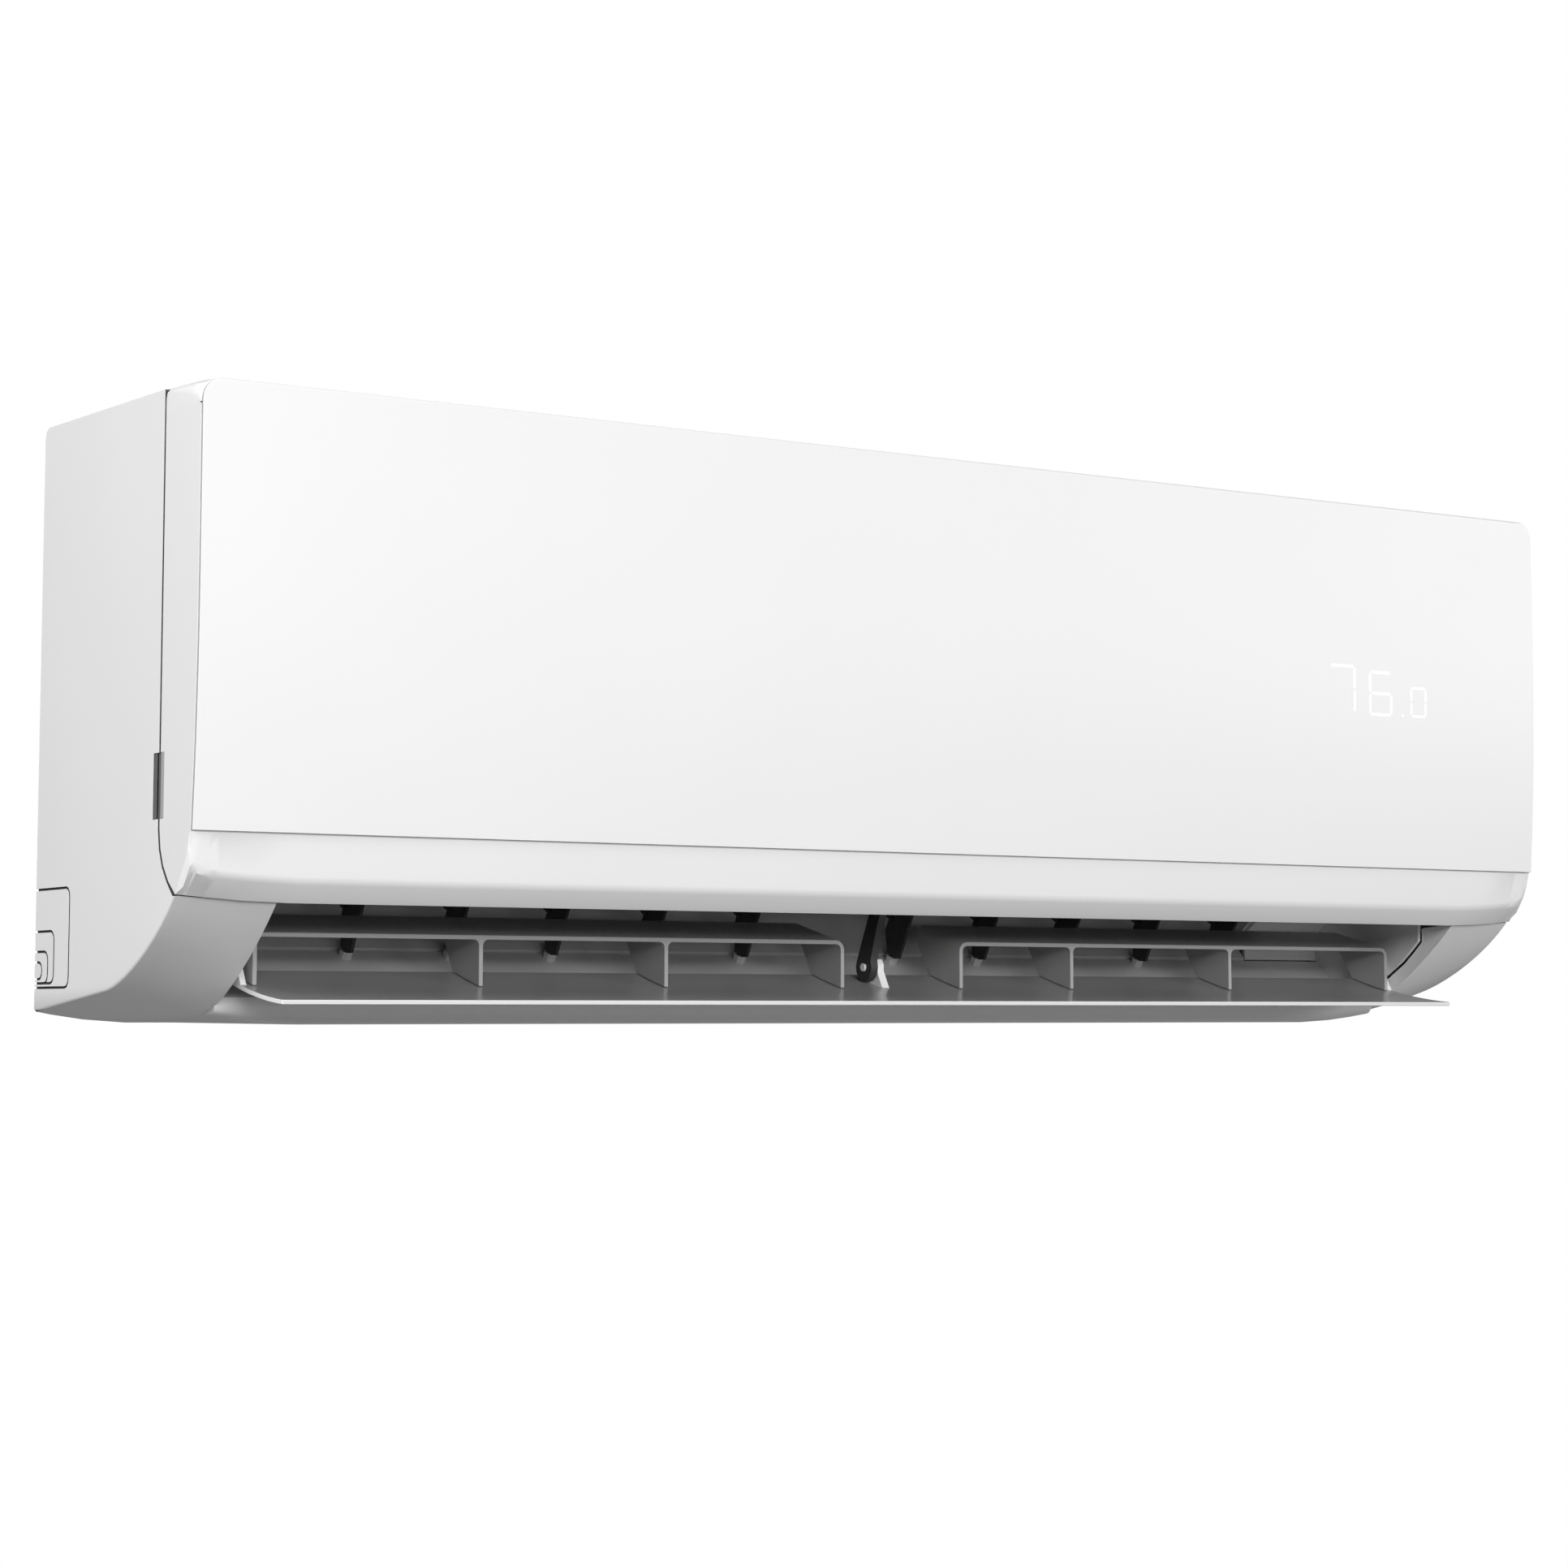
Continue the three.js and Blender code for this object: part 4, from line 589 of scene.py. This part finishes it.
# Both slabs carry painted shade: the pocket is a dark sheet where the recess lies in shade, and the step is
# the panel's white darkened by it.
GRIP_PARTS = (  # name, rear and front edge, depth in the wall, finish, body
    ("pocket", -0.1514, -0.15455, 0.0006, GRIP_POCKET_SHADE, "housing"),
    ("step", -0.1547, -0.1586, 0.0002, GRIP_STEP_SHADE, "front_panel"),
)
SLAB = 0.0006
for side, word in SIDES:
    for name, rear, front, deep, finish, body in GRIP_PARTS:
        outer, inner = side * (HALF - deep), side * (HALF - deep - SLAB)
        low = (min(outer, inner), front, GRIP_LOW + TINY)
        high = (max(outer, inner), rear, GRIP_HIGH - TINY)
        slab(f"grip_{name}_{word}", low, high, finish, body)
print("grip parts:", 2 * len(GRIP_PARTS))

# %% [markdown]
# The temperature shines through the face as white seven-segment figures. A text object would bring a
# typeface of its own, so each figure is a list of lit segments instead. A segment is a flat bar with slanted
# ends: a circle of six vertices is moved to the bar's outline and extruded into the face.
# %% Display figures
FACE_TOP_FLAT = FOOT + 0.19  # above this height the face panel is flat
LIT = {"7": "abc", "6": "afgedc", "0": "abcdef"}
PROUD, THICK = 0.00003, 0.00023  # how far a bar stands out of the face, and its thickness
BAR_GAP = 0.0006


def face_y(height):
    drop = max(0.0, (FACE_TOP_FLAT - height) / 0.112)
    return -(0.196 - 0.0046 * drop * drop)


def figure_bars(figure, left, right, low, high, stroke):
    """The ends of each lit segment's middle line, inside the given frame."""
    half = stroke / 2
    x0, x1 = left + half, right - half
    z0, z2 = low + half, high - half
    z1 = (z0 + z2) / 2
    ends = {
        "a": (x0, z2, x1, z2), "g": (x0, z1, x1, z1), "d": (x0, z0, x1, z0),
        "f": (x0, z1, x0, z2), "e": (x0, z0, x0, z1),
        "b": (x1, z1, x1, z2), "c": (x1, z0, x1, z1),
    }
    return [ends[letter] for letter in LIT[figure]]


def add_bar(bm, bar, stroke, gap):
    x0, z0, x1, z1 = bar
    along_x = abs(x1 - x0) > abs(z1 - z0)
    long = max(abs(x1 - x0), abs(z1 - z0)) / 2 - gap
    middle_x, middle_z = (x0 + x1) / 2, (z0 + z1) / 2
    half = stroke / 2
    lower = [(-long, 0), (-long + half, -half), (long - half, -half)]
    upper = [(-run, -across) for run, across in lower]
    places = []
    for run, across in lower + upper:
        x, z = (run, across) if along_x else (-across, run)
        places.append((middle_x + x, face_y(middle_z + z) - PROUD, middle_z + z))
    outline = bmesh.ops.create_circle(bm, cap_ends=True, radius=stroke, segments=len(places))["verts"]
    settle(outline, places)
    front = outline[0].link_faces[0]
    pushed = bmesh.ops.extrude_face_region(bm, geom=[front], use_keep_orig=True)["geom"]
    corners = [part for part in pushed if isinstance(part, bmesh.types.BMVert)]
    bmesh.ops.translate(bm, verts=corners, vec=(0, THICK, 0))


def glowing(name, strength):
    shop = new_shop(name)
    glow = {"Emission_Color": grey(1), "Emission_Strength": strength}
    return shop.surface(Base_Color=grey(0.9), Roughness=0.4, **glow)


display_light = glowing("display light", 0.35)
FIGURES = (  # figure, left, right, low and high edge, stroke
    ("7", 0.2489, 0.2678, 0.1610, 0.1873, 0.0014),
    ("6", 0.2777, 0.2945, 0.1606, 0.1850, 0.0014),
    ("0", 0.3082, 0.3199, 0.1610, 0.1776, 0.0011),
)
POINT = (0.3014, FOOT + 0.1616, 0.3032, FOOT + 0.1616)  # the decimal point after the second figure
for number, (figure, left, right, low, high, stroke) in enumerate(FIGURES):
    bm = bmesh.new()
    for bar in figure_bars(figure, left, right, FOOT + low, FOOT + high, stroke):
        add_bar(bm, bar, stroke, BAR_GAP)
    if figure == "6":
        add_bar(bm, POINT, stroke, 0)
    bmesh.ops.recalc_face_normals(bm, faces=bm.faces)
    deliver(bm, f"display_figure_{number + 1}", [display_light], "front_panel")
print("figures:", len(FIGURES))

# %% [markdown]
# The stage is a pale floor well below the unit, which hangs free of it, and a white surround. A studio
# wall would light the object too, so the white is kept apart from the light: Light Path's Is Camera Ray
# shows the floor and the surround as white to the camera, while the light that falls on the unit from
# them stays weak.
# %% Floor and surround
FLOOR_HEIGHT = cad_low.z - 0.75
FLOOR_GLOW = 0.8
AMBIENT = 0.075

bm = bmesh.new()
bmesh.ops.create_circle(bm, cap_ends=True, radius=2.2, segments=96)
bmesh.ops.translate(bm, verts=bm.verts, vec=(0, 0, FLOOR_HEIGHT))
floor_mesh = bpy.data.meshes.new("floor")
bm.to_mesh(floor_mesh)
bm.free()
floor = bpy.data.objects.new("floor", floor_mesh)
bpy.context.scene.collection.objects.link(floor)
floor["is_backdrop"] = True

shop = new_shop("pale floor")
path = shop.node("ShaderNodeLightPath", output="Is Camera Ray")
seen = path + path.beside("Is Glossy Ray") + path.beside("Is Transmission Ray")
shop.surface(Base_Color=grey(0.08), Roughness=0.8)
plain = Value(shop, shop.ready_made("Principled BSDF").outputs[0])
white = shop.node("ShaderNodeEmission", None, {"Color": grey(1), "Strength": 1.0})
look = shop.node("ShaderNodeMixShader", None, {0: seen * FLOOR_GLOW, 1: plain, 2: white})
shop.feed(shop.ready_made("Material Output").inputs["Surface"], look)
floor_mesh.materials.append(shop.owner)

surround = bpy.data.worlds.new("surround")
bpy.context.scene.world = surround
shop = Shop(surround)
path = shop.node("ShaderNodeLightPath", output="Is Camera Ray")
see_through = path.beside("Is Transmission Ray")
either = shop.node("ShaderNodeMath", {"operation": "MAXIMUM"}, {0: path, 1: see_through})
background = shop.ready_made("Background")
shop.feed(background.inputs["Color"], grey(1))
shop.feed(background.inputs["Strength"], AMBIENT)
dim = Value(shop, background.outputs[0])
white = shop.node("ShaderNodeBackground", None, {"Color": grey(1), "Strength": 1})
look = shop.node("ShaderNodeMixShader", None, {0: either, 1: dim, 2: white})
shop.feed(shop.ready_made("World Output").inputs["Surface"], look)
print("floor at", round(FLOOR_HEIGHT, 3))

# %% [markdown]
# Plain soft studio light. A wide lamp in front and above gives the face its even white and leaves the
# underside in shade. One on the left keeps the end wall nearly as bright, one on the right lifts the far
# end of the face, and a weak low one opens the shadows in the outlet.
# %% Lamps
def soft_light(name, place, target, width, height, power):
    data = bpy.data.lights.new(name, "AREA")
    data.shape = "RECTANGLE"
    data.size = width
    data.size_y = height
    data.energy = power
    lamp = bpy.data.objects.new(name, data)
    lamp.location = place
    lamp.rotation_euler = (Vector(target) - Vector(place)).to_track_quat("-Z", "Y").to_euler()
    bpy.context.scene.collection.objects.link(lamp)
    return lamp


middle = (cad_low + cad_high) / 2
lamps = [
    soft_light("front light", (-0.9, -3.2, 0.75), middle, 2.4, 0.9, 66),
    soft_light("right light", (2.9, -2.3, 0.55), middle, 1.2, 1.0, 32),
    soft_light("left light", (-2.3, -0.7, 1.0), middle, 1.2, 1.0, 47),
    soft_light("low light", (-0.2, -3.0, -0.25), middle, 2.0, 0.3, 9),
]
print("lamps:", [lamp.name for lamp in lamps])

# %% [markdown]
# The colours are shown as written, without a film look, and the box of the dressed scene is taken once more.
# %% Finish
bpy.context.scene.view_settings.view_transform = "Standard"
low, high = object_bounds()
